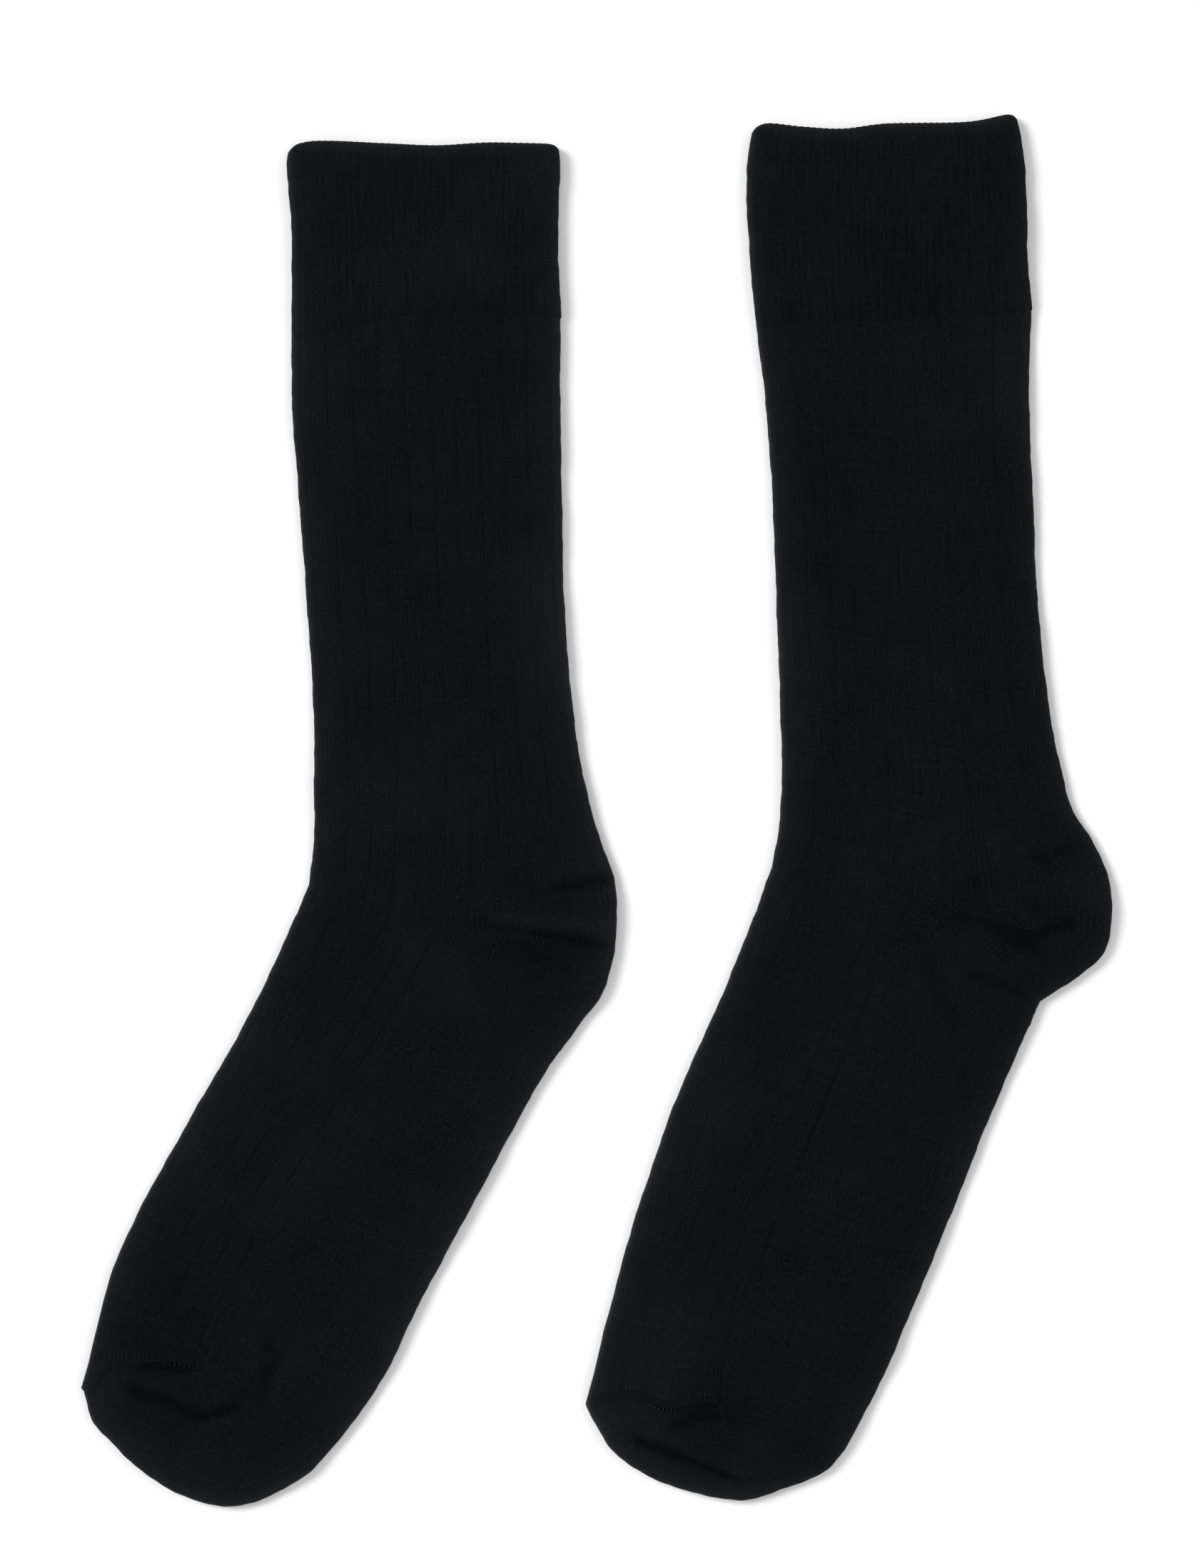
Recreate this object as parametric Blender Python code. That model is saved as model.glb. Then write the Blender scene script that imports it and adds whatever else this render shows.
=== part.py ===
"""A pair of knitted crew socks, laid flat on their sides next to each other.

Each sock is a flattened tube of knitted cloth. Its shape is worked out from courses,
the rows of knitting that run round the sock. Flattened, a course runs from the front
fold (shin and instep) over the side line to the back fold (calf and sole), turns under,
and comes back along the table. Heel and toe are pockets: their courses fan out from a
point on the side line, because each row is knitted on half of the stitches only.
"""
import math
from collections import namedtuple

import bmesh
import bpy

MM = 0.001

# Driving sizes, in millimetres.
CLOTH = 1.2             # wall of the ribbed and plain knit
WELT_CLOTH = 1.8        # wall of the cuff, which is knitted double
HEIGHT = 3.0            # two layers of cloth and the slack between them
WELT_HEIGHT = 4.2       # the same at the cuff
LAYER_CLEARANCE = 0.2   # least distance between the two layers, at the bottom of a crease
PIECE_GAP = 0.3         # between pieces where they meet
SEAM_WIDTH = 1.6        # linking across the instep
SEAM_RISE = 0.3         # how far the linking stands proud of the toe
HEEL_SWELL = 2.6        # extra height where the heel pocket puckers
TOE_SWELL = 2.0         # extra height where the toe pocket puckers
POCKET_START = 0.6      # courses of a pocket begin this far from its corner
SIDE_STEP = 1.0         # width of the side line between the front and back halves
SEAM_START = 0.5        # the linking begins this far from the side line

# A bowed course is t ** 2 * (1 - t), deepest two thirds of the way to the fold.
BOW_PEAK = 27 / 4

# A tube takes up the shape of its ends only near them: a power of the way along.
END_REACH = 8

# Facets.
FLAT_STEPS = 5          # along half a course, on each layer
FOLD_STEPS = 2          # in each quarter of a folded edge
RINGS_PER_ROW = 2       # courses worked out for each row of a table
HEEL_RAYS = 8
TOE_RAYS = 14
SHARP_ANGLE = 40        # degrees

Course = namedtuple("Course", "front side back")
Fold = namedtuple("Fold", "start end width depth")
Sock = namedtuple("Sock", "cuff leg foot heel_rim toe_rim seam_bow folds")

# Every point is (x, y) in millimetres: +Y to the cuff, +X from the front to the heel.
SOCKS = {
    "left": Sock(
        cuff=[
            Course(front=(-100.0, 214.2), side=(-56.0, 215.4), back=(-12.2, 213.6)),
            Course(front=(-100.1, 206.0), side=(-55.6, 206.0), back=(-12.0, 206.0)),
            Course(front=(-98.7, 190.0), side=(-55.2, 190.0), back=(-12.7, 190.0)),
            Course(front=(-98.6, 170.0), side=(-54.8, 174.0), back=(-12.3, 172.0)),
            Course(front=(-98.6, 152.8), side=(-54.6, 160.5), back=(-11.6, 158.6)),
        ],
        leg=[
            Course(front=(-98.6, 152.8), side=(-54.6, 160.5), back=(-12.0, 158.6)),
            Course(front=(-98.4, 130.0), side=(-53.7, 132.0), back=(-12.0, 131.0)),
            Course(front=(-96.2, 100.5), side=(-52.1, 100.5), back=(-11.5, 100.5)),
            Course(front=(-93.6, 66.0), side=(-50.7, 66.0), back=(-10.7, 66.0)),
            Course(front=(-91.5, 33.0), side=(-49.1, 31.5), back=(-8.0, 33.0)),
            Course(front=(-91.3, 8.0), side=(-48.6, 3.5), back=(-4.6, 11.0)),
            Course(front=(-91.4, -10.0), side=(-49.8, -19.5), back=(0.1, -7.0)),
            Course(front=(-93.0, -24.2), side=(-51.8, -40.0), back=(5.5, -22.0)),
        ],
        foot=[
            Course(front=(-93.0, -24.2), side=(-51.8, -40.0), back=(-5.0, -68.2)),
            Course(front=(-101.4, -43.6), side=(-65.0, -63.5), back=(-18.4, -87.3)),
            Course(front=(-113.4, -68.4), side=(-79.3, -87.1), back=(-32.2, -112.4)),
            Course(front=(-127.4, -92.8), side=(-93.9, -110.9), back=(-45.8, -137.6)),
            Course(front=(-139.6, -114.3), side=(-106.6, -131.6), back=(-56.9, -158.2)),
            Course(front=(-150.6, -134.8), side=(-118.1, -152.4), back=(-67.3, -179.9)),
            Course(front=(-158.2, -154.0), side=(-125.6, -166.0), back=(-74.6, -191.9)),
            Course(front=(-166.2, -184.4), side=(-130.4, -178.3), back=(-83.5, -203.7)),
        ],
        heel_rim=[(5.5, -22.0), (6.3, -33.0), (5.4, -46.5), (1.4, -59.5), (-5.0, -68.2)],
        toe_rim=[(-83.5, -203.7), (-93.2, -214.1), (-101.7, -219.6), (-112.0, -224.0), (-122.0, -224.9),
                 (-132.4, -222.4), (-142.6, -216.9), (-152.8, -208.6), (-162.2, -197.5), (-166.2, -184.4)],
        seam_bow=5.2,
        folds=[
            Fold(start=(-30.0, -42.0), end=(2.0, -42.0), width=5.0, depth=1.2),
            Fold(start=(-149.0, -186.0), end=(-117.0, -193.5), width=5.0, depth=1.3),
            Fold(start=(-110.0, -172.0), end=(-107.5, -191.0), width=5.0, depth=0.5),
        ],
    ),
    "right": Sock(
        cuff=[
            Course(front=(50.0, 219.6), side=(93.2, 221.4), back=(135.6, 224.6)),
            Course(front=(48.5, 206.0), side=(93.2, 208.0), back=(138.0, 210.0)),
            Course(front=(48.8, 190.0), side=(93.2, 191.0), back=(138.8, 192.0)),
            Course(front=(50.0, 172.0), side=(93.3, 174.0), back=(139.2, 176.0)),
            Course(front=(51.6, 157.2), side=(93.6, 159.0), back=(140.6, 162.0)),
        ],
        leg=[
            Course(front=(51.6, 157.2), side=(93.6, 159.0), back=(140.3, 162.0)),
            Course(front=(54.7, 131.0), side=(94.8, 132.0), back=(139.5, 133.0)),
            Course(front=(56.9, 100.5), side=(96.4, 100.5), back=(140.8, 100.5)),
            Course(front=(58.2, 66.0), side=(98.5, 66.0), back=(142.4, 66.0)),
            Course(front=(59.4, 33.0), side=(100.8, 31.5), back=(146.0, 33.0)),
            Course(front=(59.9, 12.5), side=(102.2, 9.5), back=(149.4, 15.5)),
            Course(front=(59.2, -3.5), side=(102.7, -10.0), back=(153.2, 1.0)),
            Course(front=(56.7, -18.5), side=(102.0, -28.0), back=(159.5, -9.0)),
        ],
        foot=[
            Course(front=(56.7, -18.5), side=(102.0, -28.0), back=(143.1, -61.8)),
            Course(front=(49.0, -39.3), side=(89.8, -55.4), back=(137.6, -74.2)),
            Course(front=(38.9, -63.8), side=(79.3, -80.6), back=(126.4, -100.2)),
            Course(front=(27.0, -90.3), side=(68.5, -107.4), back=(115.6, -127.5)),
            Course(front=(18.1, -114.8), side=(58.1, -132.3), back=(105.4, -152.4)),
            Course(front=(10.0, -140.0), side=(48.2, -156.4), back=(95.3, -176.4)),
            Course(front=(4.8, -160.0), side=(42.2, -172.0), back=(89.0, -190.0)),
            Course(front=(-3.4, -192.0), side=(39.4, -190.8), back=(80.0, -206.7)),
        ],
        heel_rim=[(159.5, -9.0), (164.8, -20.5), (166.4, -34.0), (164.0, -45.6), (157.5, -52.2),
                  (149.8, -57.6), (143.1, -61.8)],
        toe_rim=[(80.0, -206.7), (73.1, -214.1), (59.5, -219.6), (45.5, -223.0), (28.1, -219.6),
                 (14.7, -214.1), (6.6, -208.6), (2.2, -203.0), (-3.4, -192.0)],
        seam_bow=1.8,
        folds=[
            Fold(start=(120.0, -34.0), end=(152.0, -39.5), width=6.0, depth=1.4),
            Fold(start=(120.5, -54.0), end=(141.0, -60.5), width=5.0, depth=0.6),
            Fold(start=(24.0, -197.5), end=(43.0, -193.0), width=5.0, depth=1.2),
            Fold(start=(11.0, -203.0), end=(48.0, -216.0), width=4.5, depth=1.0),
        ],
    ),
}

# Base colour (linear) and roughness of each kind of piece.
FINISH = {
    "cuff": ((0.0056, 0.0060, 0.0072), 0.90),
    "leg": ((0.0056, 0.0060, 0.0070), 0.92),
    "heel": ((0.0060, 0.0064, 0.0074), 0.94),
    "foot": ((0.0056, 0.0060, 0.0070), 0.92),
    "toe": ((0.0060, 0.0064, 0.0074), 0.94),
    "toe_seam": ((0.0070, 0.0074, 0.0086), 0.86),
}


def clear_scene():
    for old in list(bpy.data.objects):
        bpy.data.objects.remove(old, do_unlink=True)


def mix(a, b, t):
    return tuple(p + (q - p) * t for p, q in zip(a, b))


def smooth_point(points, index, t):
    """A point of the Catmull-Rom curve through the points, t of the way past points[index]."""
    last = len(points) - 1
    p1, p2 = points[index], points[index + 1]
    p0 = points[index - 1] if index > 0 else mix(p2, p1, 2)
    p3 = points[index + 2] if index + 2 <= last else mix(p1, p2, 2)
    return tuple(
        b + 0.5 * t * (c - a + t * (2 * a - 5 * b + 4 * c - d + t * (3 * (b - c) + d - a)))
        for a, b, c, d in zip(p0, p1, p2, p3)
    )


def smooth_line(points, steps):
    """The smooth curve through the points, as steps + 1 evenly numbered points."""
    line = []
    for step in range(steps + 1):
        along = step / steps * (len(points) - 1)
        index = min(int(along), len(points) - 2)
        line.append(smooth_point(points, index, along - index))
    return line


def smooth_courses(courses, rings_per_row=RINGS_PER_ROW):
    steps = (len(courses) - 1) * rings_per_row
    columns = [smooth_line([getattr(row, name) for row in courses], steps) for name in Course._fields]
    return [Course(*points) for points in zip(*columns)]


def unit(vector):
    length = math.hypot(*vector)
    return (vector[0] / length, vector[1] / length)


def towards(start, end, distance):
    """The point at a distance from start, on the way to end."""
    direction = unit((end[0] - start[0], end[1] - start[1]))
    return (start[0] + direction[0] * distance, start[1] + direction[1] * distance)


def sunk_at(folds, x, y):
    """How deep the creases pull the upper layer down at a place."""
    depth = 0.0
    for fold in folds:
        run = (fold.end[0] - fold.start[0], fold.end[1] - fold.start[1])
        reach = (x - fold.start[0], y - fold.start[1])
        along = (run[0] * reach[0] + run[1] * reach[1]) / (run[0] ** 2 + run[1] ** 2)
        nearest = mix(fold.start, fold.end, min(max(along, 0.0), 1.0))
        away = math.dist(nearest, (x, y)) / fold.width
        depth += fold.depth * math.exp(-2.0 * away * away)
    return depth


def half_course(inner, outer, height, wall=0.0, bow=0.0, shift=0.0, swell=0.0, grow=0.0, folds=()):
    """Half of a flattened course: out along the upper layer, round the fold, back underneath.

    The course bows and shifts to the right of its own direction. With a wall, it is the course
    inside the cloth, that far in from the outside.
    """
    run = (outer[0] - inner[0], outer[1] - inner[1])
    length = math.hypot(*run)
    ahead = unit(run)
    aside = (ahead[1], -ahead[0])
    slack = height - 2 * CLOTH
    fold_start = length + grow - height / 2
    radius = height / 2 - wall

    def place(distance, z, upper):
        t = distance / length
        held = min(distance, fold_start) / length
        slope = bow * BOW_PEAK * (2 * held - 3 * held ** 2) / length
        right = unit((aside[0] - ahead[0] * slope, aside[1] - ahead[1] * slope))
        sag = bow * BOW_PEAK * t ** 2 * (1 - t)
        x = inner[0] + ahead[0] * distance + aside[0] * sag + right[0] * shift
        y = inner[1] + ahead[1] * distance + aside[1] * sag + right[1] * shift
        if upper:
            z += max(swell * math.sin(math.pi * t) ** 2 - sunk_at(folds, x, y), LAYER_CLEARANCE - slack)
        return (x, y, z)

    flat = [fold_start * step / FLAT_STEPS for step in range(FLAT_STEPS)]
    ring = [place(distance, height - wall, True) for distance in flat]
    for step in range(2 * FOLD_STEPS + 1):
        turn = math.pi / 2 * (1 - step / FOLD_STEPS)
        ring.append(place(fold_start + radius * math.cos(turn), height / 2 + radius * math.sin(turn), False))
    ring += [place(distance, wall, False) for distance in reversed(flat)]
    return ring


def tube(courses, height, wall, start_gap=0.0, end_gap=0.0, front_end_gap=None, end_bow=0.0):
    """Whole courses, once round the sock, with room left for the pieces before and after."""
    front_end_gap = end_gap if front_end_gap is None else front_end_gap
    rows = smooth_courses(courses)
    rings = []
    for number, row in enumerate(rows):
        near_end = (number / (len(rows) - 1)) ** END_REACH
        near_start = (1 - number / (len(rows) - 1)) ** END_REACH
        front_shift = front_end_gap * near_end - start_gap * near_start
        back_shift = end_gap * near_end - start_gap * near_start
        back_side = towards(row.side, row.back, SIDE_STEP)
        front = half_course(row.side, row.front, height, wall, bow=end_bow * near_end, shift=front_shift)
        back = half_course(back_side, row.back, height, wall, shift=-back_shift)
        rings.append(front + back[::-1])
    return rings


def pocket(side, rim, rays, wall, swell, folds, first_gap, last_gap, last_bow=0.0):
    """The half courses of a heel or toe, fanned out from the side line to the rim."""
    fan = []
    for number, outer in enumerate(smooth_line(rim, rays)):
        turned = number / rays
        fan.append(half_course(
            towards(side, outer, POCKET_START), outer, HEIGHT, wall,
            bow=last_bow * turned ** END_REACH,
            shift=first_gap * (1 - turned) - last_gap * turned,
            swell=swell * math.sin(math.pi * turned),
            folds=folds,
        ))
    fan.reverse()
    return fan


def linking(toe_line, bow, wall):
    """The two edges of the linking, which stands a little proud all round."""
    start = towards(toe_line.side, toe_line.front, SEAM_START)
    return [
        half_course(start, toe_line.front, HEIGHT + SEAM_RISE, wall, bow=bow, shift=shift, grow=SEAM_RISE)
        for shift in (SEAM_WIDTH / 2, -SEAM_WIDTH / 2)
    ]


def knit_material(name, piece):
    colour, roughness = FINISH[piece]
    material = bpy.data.materials.new(name)
    material.use_nodes = True
    shader = material.node_tree.nodes["Principled BSDF"]
    shader.inputs["Base Color"].default_value = (*colour, 1.0)
    shader.inputs["Roughness"].default_value = roughness
    shader.inputs["Metallic"].default_value = 0.0
    return material


def cloth_piece(name, piece, outside, inside, closed):
    """A piece of cloth lofted through its courses, outside and inside.

    The wall is lofted with it, because Solidify would push a slanting end into the next piece.
    """
    cage = bmesh.new()
    outside, inside = (
        [[cage.verts.new([value * MM for value in point]) for point in course] for course in courses]
        for courses in (outside, inside)
    )
    count = len(outside[0])
    steps = [(number, (number + 1) % count) for number in range(count if closed else count - 1)]
    for row in range(len(outside) - 1):
        for this, after in steps:
            upper, lower = outside[row], outside[row + 1]
            cage.faces.new((upper[this], upper[after], lower[after], lower[this]))
            upper, lower = inside[row], inside[row + 1]
            cage.faces.new((upper[after], upper[this], lower[this], lower[after]))
        if not closed:
            for number, turn in ((0, 1), (-1, -1)):
                edge = (outside[row][number], outside[row + 1][number],
                        inside[row + 1][number], inside[row][number])
                cage.faces.new(edge[::turn])
    for row, turn in ((0, 1), (-1, -1)):
        for this, after in steps:
            end = (outside[row][after], outside[row][this], inside[row][this], inside[row][after])
            cage.faces.new(end[::turn])
    mesh = bpy.data.meshes.new(name)
    cage.to_mesh(mesh)
    cage.free()
    mesh.shade_smooth()
    mesh.set_sharp_from_angle(angle=math.radians(SHARP_ANGLE))
    mesh.materials.append(knit_material(name, piece))
    return bpy.data.objects.new(name, mesh)


def knit_sock(side, sock, collection):
    half_gap = PIECE_GAP / 2
    seam_room = SEAM_WIDTH / 2 + PIECE_GAP
    ankle, toe_line = sock.foot[0], sock.foot[-1]
    pieces = {
        "cuff": (WELT_CLOTH, True, lambda wall: tube(
            sock.cuff, WELT_HEIGHT, wall, end_gap=half_gap)),
        "leg": (CLOTH, True, lambda wall: tube(
            sock.leg, HEIGHT, wall, start_gap=half_gap, end_gap=half_gap)),
        "heel": (CLOTH, False, lambda wall: pocket(
            ankle.side, sock.heel_rim, HEEL_RAYS, wall, HEEL_SWELL, sock.folds,
            first_gap=half_gap, last_gap=half_gap)),
        "foot": (CLOTH, True, lambda wall: tube(
            sock.foot, HEIGHT, wall, start_gap=half_gap, end_gap=half_gap,
            front_end_gap=seam_room, end_bow=sock.seam_bow)),
        "toe": (CLOTH, False, lambda wall: pocket(
            toe_line.side, sock.toe_rim, TOE_RAYS, wall, TOE_SWELL, sock.folds,
            first_gap=half_gap, last_gap=seam_room, last_bow=sock.seam_bow)),
        "toe_seam": (CLOTH, False, lambda wall: linking(toe_line, sock.seam_bow, wall)),
    }
    for piece, (wall, closed, courses) in pieces.items():
        cloth = cloth_piece(f"{piece}_{side}", piece, courses(0.0), courses(wall), closed)
        collection.objects.link(cloth)


def main():
    clear_scene()
    collection = bpy.data.collections.new("pair_of_socks")
    bpy.context.scene.collection.children.link(collection)
    for side, sock in SOCKS.items():
        knit_sock(side, sock, collection)


main()
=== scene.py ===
# %% [markdown]
# A pair of black crew socks, laid flat
#
# The real thing is knitted, not sewn: each sock comes off a small circular machine as one
# tube of cloth. The cuff is a 1 by 1 rib knitted double, the leg is a fine knit with one
# sunken stitch in every six, and heel and toe are pockets of plain knit.
# This lesson rebuilds that cloth stitch column by stitch column. A loft in numpy lays out the
# smooth tube, Geometry Nodes press the ribs into it, and the shaders draw the loops.

# %% The frame
import math
from collections import namedtuple
from functools import partial

import bpy
import numpy as np
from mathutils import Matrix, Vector


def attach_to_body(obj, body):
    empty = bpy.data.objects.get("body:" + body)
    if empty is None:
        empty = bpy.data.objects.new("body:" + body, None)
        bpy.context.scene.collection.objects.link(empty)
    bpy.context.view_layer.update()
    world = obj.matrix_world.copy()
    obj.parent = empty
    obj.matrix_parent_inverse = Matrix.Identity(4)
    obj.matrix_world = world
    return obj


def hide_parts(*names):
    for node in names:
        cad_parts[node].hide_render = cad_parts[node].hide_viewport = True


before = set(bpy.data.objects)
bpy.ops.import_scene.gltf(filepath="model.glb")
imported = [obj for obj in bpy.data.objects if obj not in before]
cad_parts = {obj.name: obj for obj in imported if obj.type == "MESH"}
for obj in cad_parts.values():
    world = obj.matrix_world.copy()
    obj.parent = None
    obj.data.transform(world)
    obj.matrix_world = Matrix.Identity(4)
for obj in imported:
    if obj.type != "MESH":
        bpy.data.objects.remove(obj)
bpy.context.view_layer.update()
scene = bpy.context.scene

# %% [markdown]
# The sizes of the knitting
#
# A knitter counts wales (columns of stitches) and courses (rows). The leg has 22 ribs of six
# wales, so 132 wales run round it, and 33 of them lie between the side line and either fold.
# The cuff is knitted tighter, with 84 ribs of two wales. Everything below is in millimetres
# and is turned into metres only when a mesh is made.

# %% Sizes
MM = 0.001
WALES_ROUND = 132           # leg and foot, in ribs of six
CUFF_WALES_ROUND = 168      # cuff, in ribs of two
COURSE = 0.95               # height of one row of stitches
CLOTH = 1.0                 # wall of the single knit
WELT_CLOTH = 1.6            # wall of the double cuff
HEIGHT = 3.0                # both layers, where they lie flat
WELT_HEIGHT = 4.2
SEAM_WIDTH = 1.1            # the linking across the toes
COLUMNS_PER_WALE = 4
CUFF_COLUMNS_PER_WALE = 3
INNER_EVERY = 8             # the inner wall keeps one column in eight
CUFF_INNER_EVERY = 6
INNER_ROWS = 3              # and one row in three
SIDES = ("left", "right")
print(WALES_ROUND, "wales round the leg and", CUFF_WALES_ROUND, "round the cuff")

# %% [markdown]
# Where the courses lie
#
# A flattened sock has two folds, at the front (shin and instep) and at the back (calf and
# sole), and a side line between them, where the ribs of the instep meet the plain sole.
# Each row of these tables is one course: where it meets the front fold, the side line and the
# back fold. Reading down a table walks along the sock. A smooth curve through each column
# gives all the courses between.

# %% Course tables
Course = namedtuple("Course", "front side back")
Sock = namedtuple("Sock", "cuff leg foot heel_rim toe_rim top_line welt_line seam_line "
                          "leg_bow seam_bow gore_at")


def courses(*rows):
    """Courses from their places on the front fold, the side line and the back fold."""
    return [Course(*row) for row in rows]


SOCKS = {
    "left": Sock(
        cuff=courses(
            ((-100, 214.2), (-56, 215.4), (-12.2, 213.6)),
            ((-100.1, 206), (-55.6, 206), (-12, 206)),
            ((-98.7, 190), (-55.2, 190), (-12.7, 190)),
            ((-98.6, 170), (-54.8, 174), (-12.3, 172)),
            ((-98.6, 152.8), (-54.6, 160.5), (-11.6, 158.6)),
        ),
        leg=courses(
            ((-98.6, 152.8), (-54.6, 160.5), (-12, 158.6)),
            ((-98.4, 130), (-53.7, 132), (-12, 131)),
            ((-96.2, 100.5), (-52.1, 100.5), (-11.5, 100.5)),
            ((-93.6, 66), (-50.7, 66), (-10.7, 66)),
            ((-91.5, 33), (-49.1, 31.5), (-8, 33)),
            ((-91.3, 8), (-48.6, 3.5), (-4.6, 11)),
            ((-91.4, -10), (-49.8, -19.5), (0.1, -7)),
            ((-93, -24.2), (-51.8, -40), (5.5, -22)),
        ),
        foot=courses(
            ((-93, -24.2), (-51.8, -40), (-5, -68.2)),
            ((-101.4, -43.6), (-65, -63.5), (-18.4, -87.3)),
            ((-113.4, -68.4), (-79.3, -87.1), (-32.2, -112.4)),
            ((-127.4, -92.8), (-93.9, -110.9), (-45.8, -137.6)),
            ((-139.6, -114.3), (-106.6, -131.6), (-56.9, -158.2)),
            ((-150.6, -134.8), (-118.1, -152.4), (-67.3, -179.9)),
            ((-158.2, -154), (-125.6, -166), (-74.6, -191.9)),
            ((-166.2, -184.4), (-130.4, -178.3), (-83.5, -203.7)),
        ),
        heel_rim=[(5.5, -22), (6.3, -33), (5.4, -46.5), (1.4, -59.5), (-5, -68.2)],
        toe_rim=[(-83.5, -203.7), (-93.2, -214.1), (-101.7, -219.6), (-112, -224), (-122, -224.9),
                 (-132.4, -222.4), (-142.6, -216.9), (-152.8, -208.6), (-162.2, -197.5),
                 (-166.2, -184.4)],
        top_line=[(-100, 213.8), (-95.7, 215.5), (-88.6, 216.2), (-70, 215.5), (-51.6, 214.8),
                  (-34.1, 215.7), (-14.7, 215.2), (-12, 214.6)],
        welt_line=[(-98.6, 152.9), (-86, 155.2), (-75.4, 157.3), (-62, 160.6), (-54.6, 161.4),
                   (-40.8, 161.4), (-26, 160.4), (-12, 159.4)],
        seam_line=[(-167.5, -187.6), (-163.9, -186.2), (-160.9, -182.4), (-158.5, -179.4),
                   (-155.8, -178.2), (-148.2, -177.8), (-138.9, -177.2), (-130.4, -178.3)],
        leg_bow=-2.5, seam_bow=5.2, gore_at=0.44,
    ),
    "right": Sock(
        cuff=courses(
            ((50, 219.6), (93.2, 221.4), (135.6, 224.6)),
            ((48.5, 206), (93.2, 208), (138, 210)),
            ((48.8, 190), (93.2, 191), (138.8, 192)),
            ((50, 172), (93.3, 174), (139.2, 176)),
            ((51.6, 157.2), (93.6, 159), (140.6, 162)),
        ),
        leg=courses(
            ((51.6, 157.2), (93.6, 159), (140.3, 162)),
            ((54.7, 131), (94.8, 132), (139.5, 133)),
            ((56.9, 100.5), (96.4, 100.5), (140.8, 100.5)),
            ((58.2, 66), (98.5, 66), (142.4, 66)),
            ((59.4, 33), (100.8, 31.5), (146, 33)),
            ((59.9, 12.5), (102.2, 9.5), (149.4, 15.5)),
            ((59.2, -3.5), (102.7, -10), (153.2, 1)),
            ((56.7, -18.5), (102, -28), (159.5, -9)),
        ),
        foot=courses(
            ((56.7, -18.5), (102, -28), (143.1, -61.8)),
            ((49, -39.3), (89.8, -55.4), (137.6, -74.2)),
            ((38.9, -63.8), (79.3, -80.6), (126.4, -100.2)),
            ((27, -90.3), (68.5, -107.4), (115.6, -127.5)),
            ((18.1, -114.8), (58.1, -132.3), (105.4, -152.4)),
            ((10, -140), (48.2, -156.4), (95.3, -176.4)),
            ((4.8, -160), (42.2, -172), (89, -190)),
            ((-3.4, -192), (39.4, -190.8), (80, -206.7)),
        ),
        heel_rim=[(159.5, -9), (164.8, -20.5), (166.4, -34), (164, -45.6), (157.5, -52.2),
                  (149.8, -57.6), (143.1, -61.8)],
        toe_rim=[(80, -206.7), (73.1, -214.1), (59.5, -219.6), (45.5, -223), (28.1, -219.6),
                 (14.7, -214.1), (6.6, -208.6), (2.2, -203), (-3.4, -192)],
        top_line=[(48, 219.6), (52, 221.2), (56.2, 221.9), (66.2, 220.8), (79.1, 220.1), (93.9, 221.9),
                  (119.3, 222.4), (133.4, 224.9), (138, 224.4)],
        welt_line=[(51.6, 157), (66, 157.6), (79.6, 158.4), (94, 158.6), (112.6, 159.4), (126, 160.4),
                   (140.5, 162)],
        seam_line=[(-4.5, -192.6), (-1.5, -192), (3.1, -189.6), (8.9, -188.8), (15.8, -189.5),
                   (20.4, -191.5), (25, -192), (30, -191.1), (39.4, -190.8)],
        leg_bow=0.0, seam_bow=1.8, gore_at=0.56,
    ),
}
print("courses drawn:", {side: len(sock.cuff + sock.leg + sock.foot) for side, sock in SOCKS.items()})

# %% [markdown]
# A curve through the drawn places
#
# Only a few courses are drawn, and the machine knitted hundreds. A Catmull-Rom curve goes
# through every drawn place and is smooth between them, so it gives the courses in between.
# Its places can be spread evenly by length, because real courses are evenly spaced.

# %% Curve helpers
FINE_STEPS = 400            # places that a curve's length is measured at
LINE_STEPS = 200            # places on a drawn line


def smooth_curve(points, places):
    """The Catmull-Rom curve through the points, at places counted in points from the first."""
    points = np.asarray(points, float)
    ends = np.vstack([2 * points[0] - points[1], points, 2 * points[-1] - points[-2]])
    index = np.clip(places.astype(int), 0, len(points) - 2)
    t = (places - index)[:, None]
    a, b, c, d = (ends[index + step] for step in range(4))
    return b + 0.5 * t * (c - a + t * (2 * a - 5 * b + 4 * c - d + t * (3 * (b - c) + d - a)))


def fine_curve(points, count=LINE_STEPS):
    """The curve through the points, as a line of many places."""
    return smooth_curve(points, np.linspace(0, len(points) - 1, count))


def run_along(line):
    """How far along a line each of its places lies."""
    return np.concatenate([[0], np.cumsum(np.linalg.norm(np.diff(line, axis=0), axis=1))])


def even_places(points, count):
    """Places along a curve through the points that are evenly spaced, and the curve's length."""
    fine = np.linspace(0, len(points) - 1, FINE_STEPS)
    run = run_along(smooth_curve(points, fine))
    return np.interp(np.linspace(0, run[-1], count), run, fine), run[-1]


def length_of(points):
    return even_places(points, 2)[1]


for side, sock in SOCKS.items():
    print(f"{side} rims: heel {length_of(sock.heel_rim):.0f} mm, toe {length_of(sock.toe_rim):.0f} mm")
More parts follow.
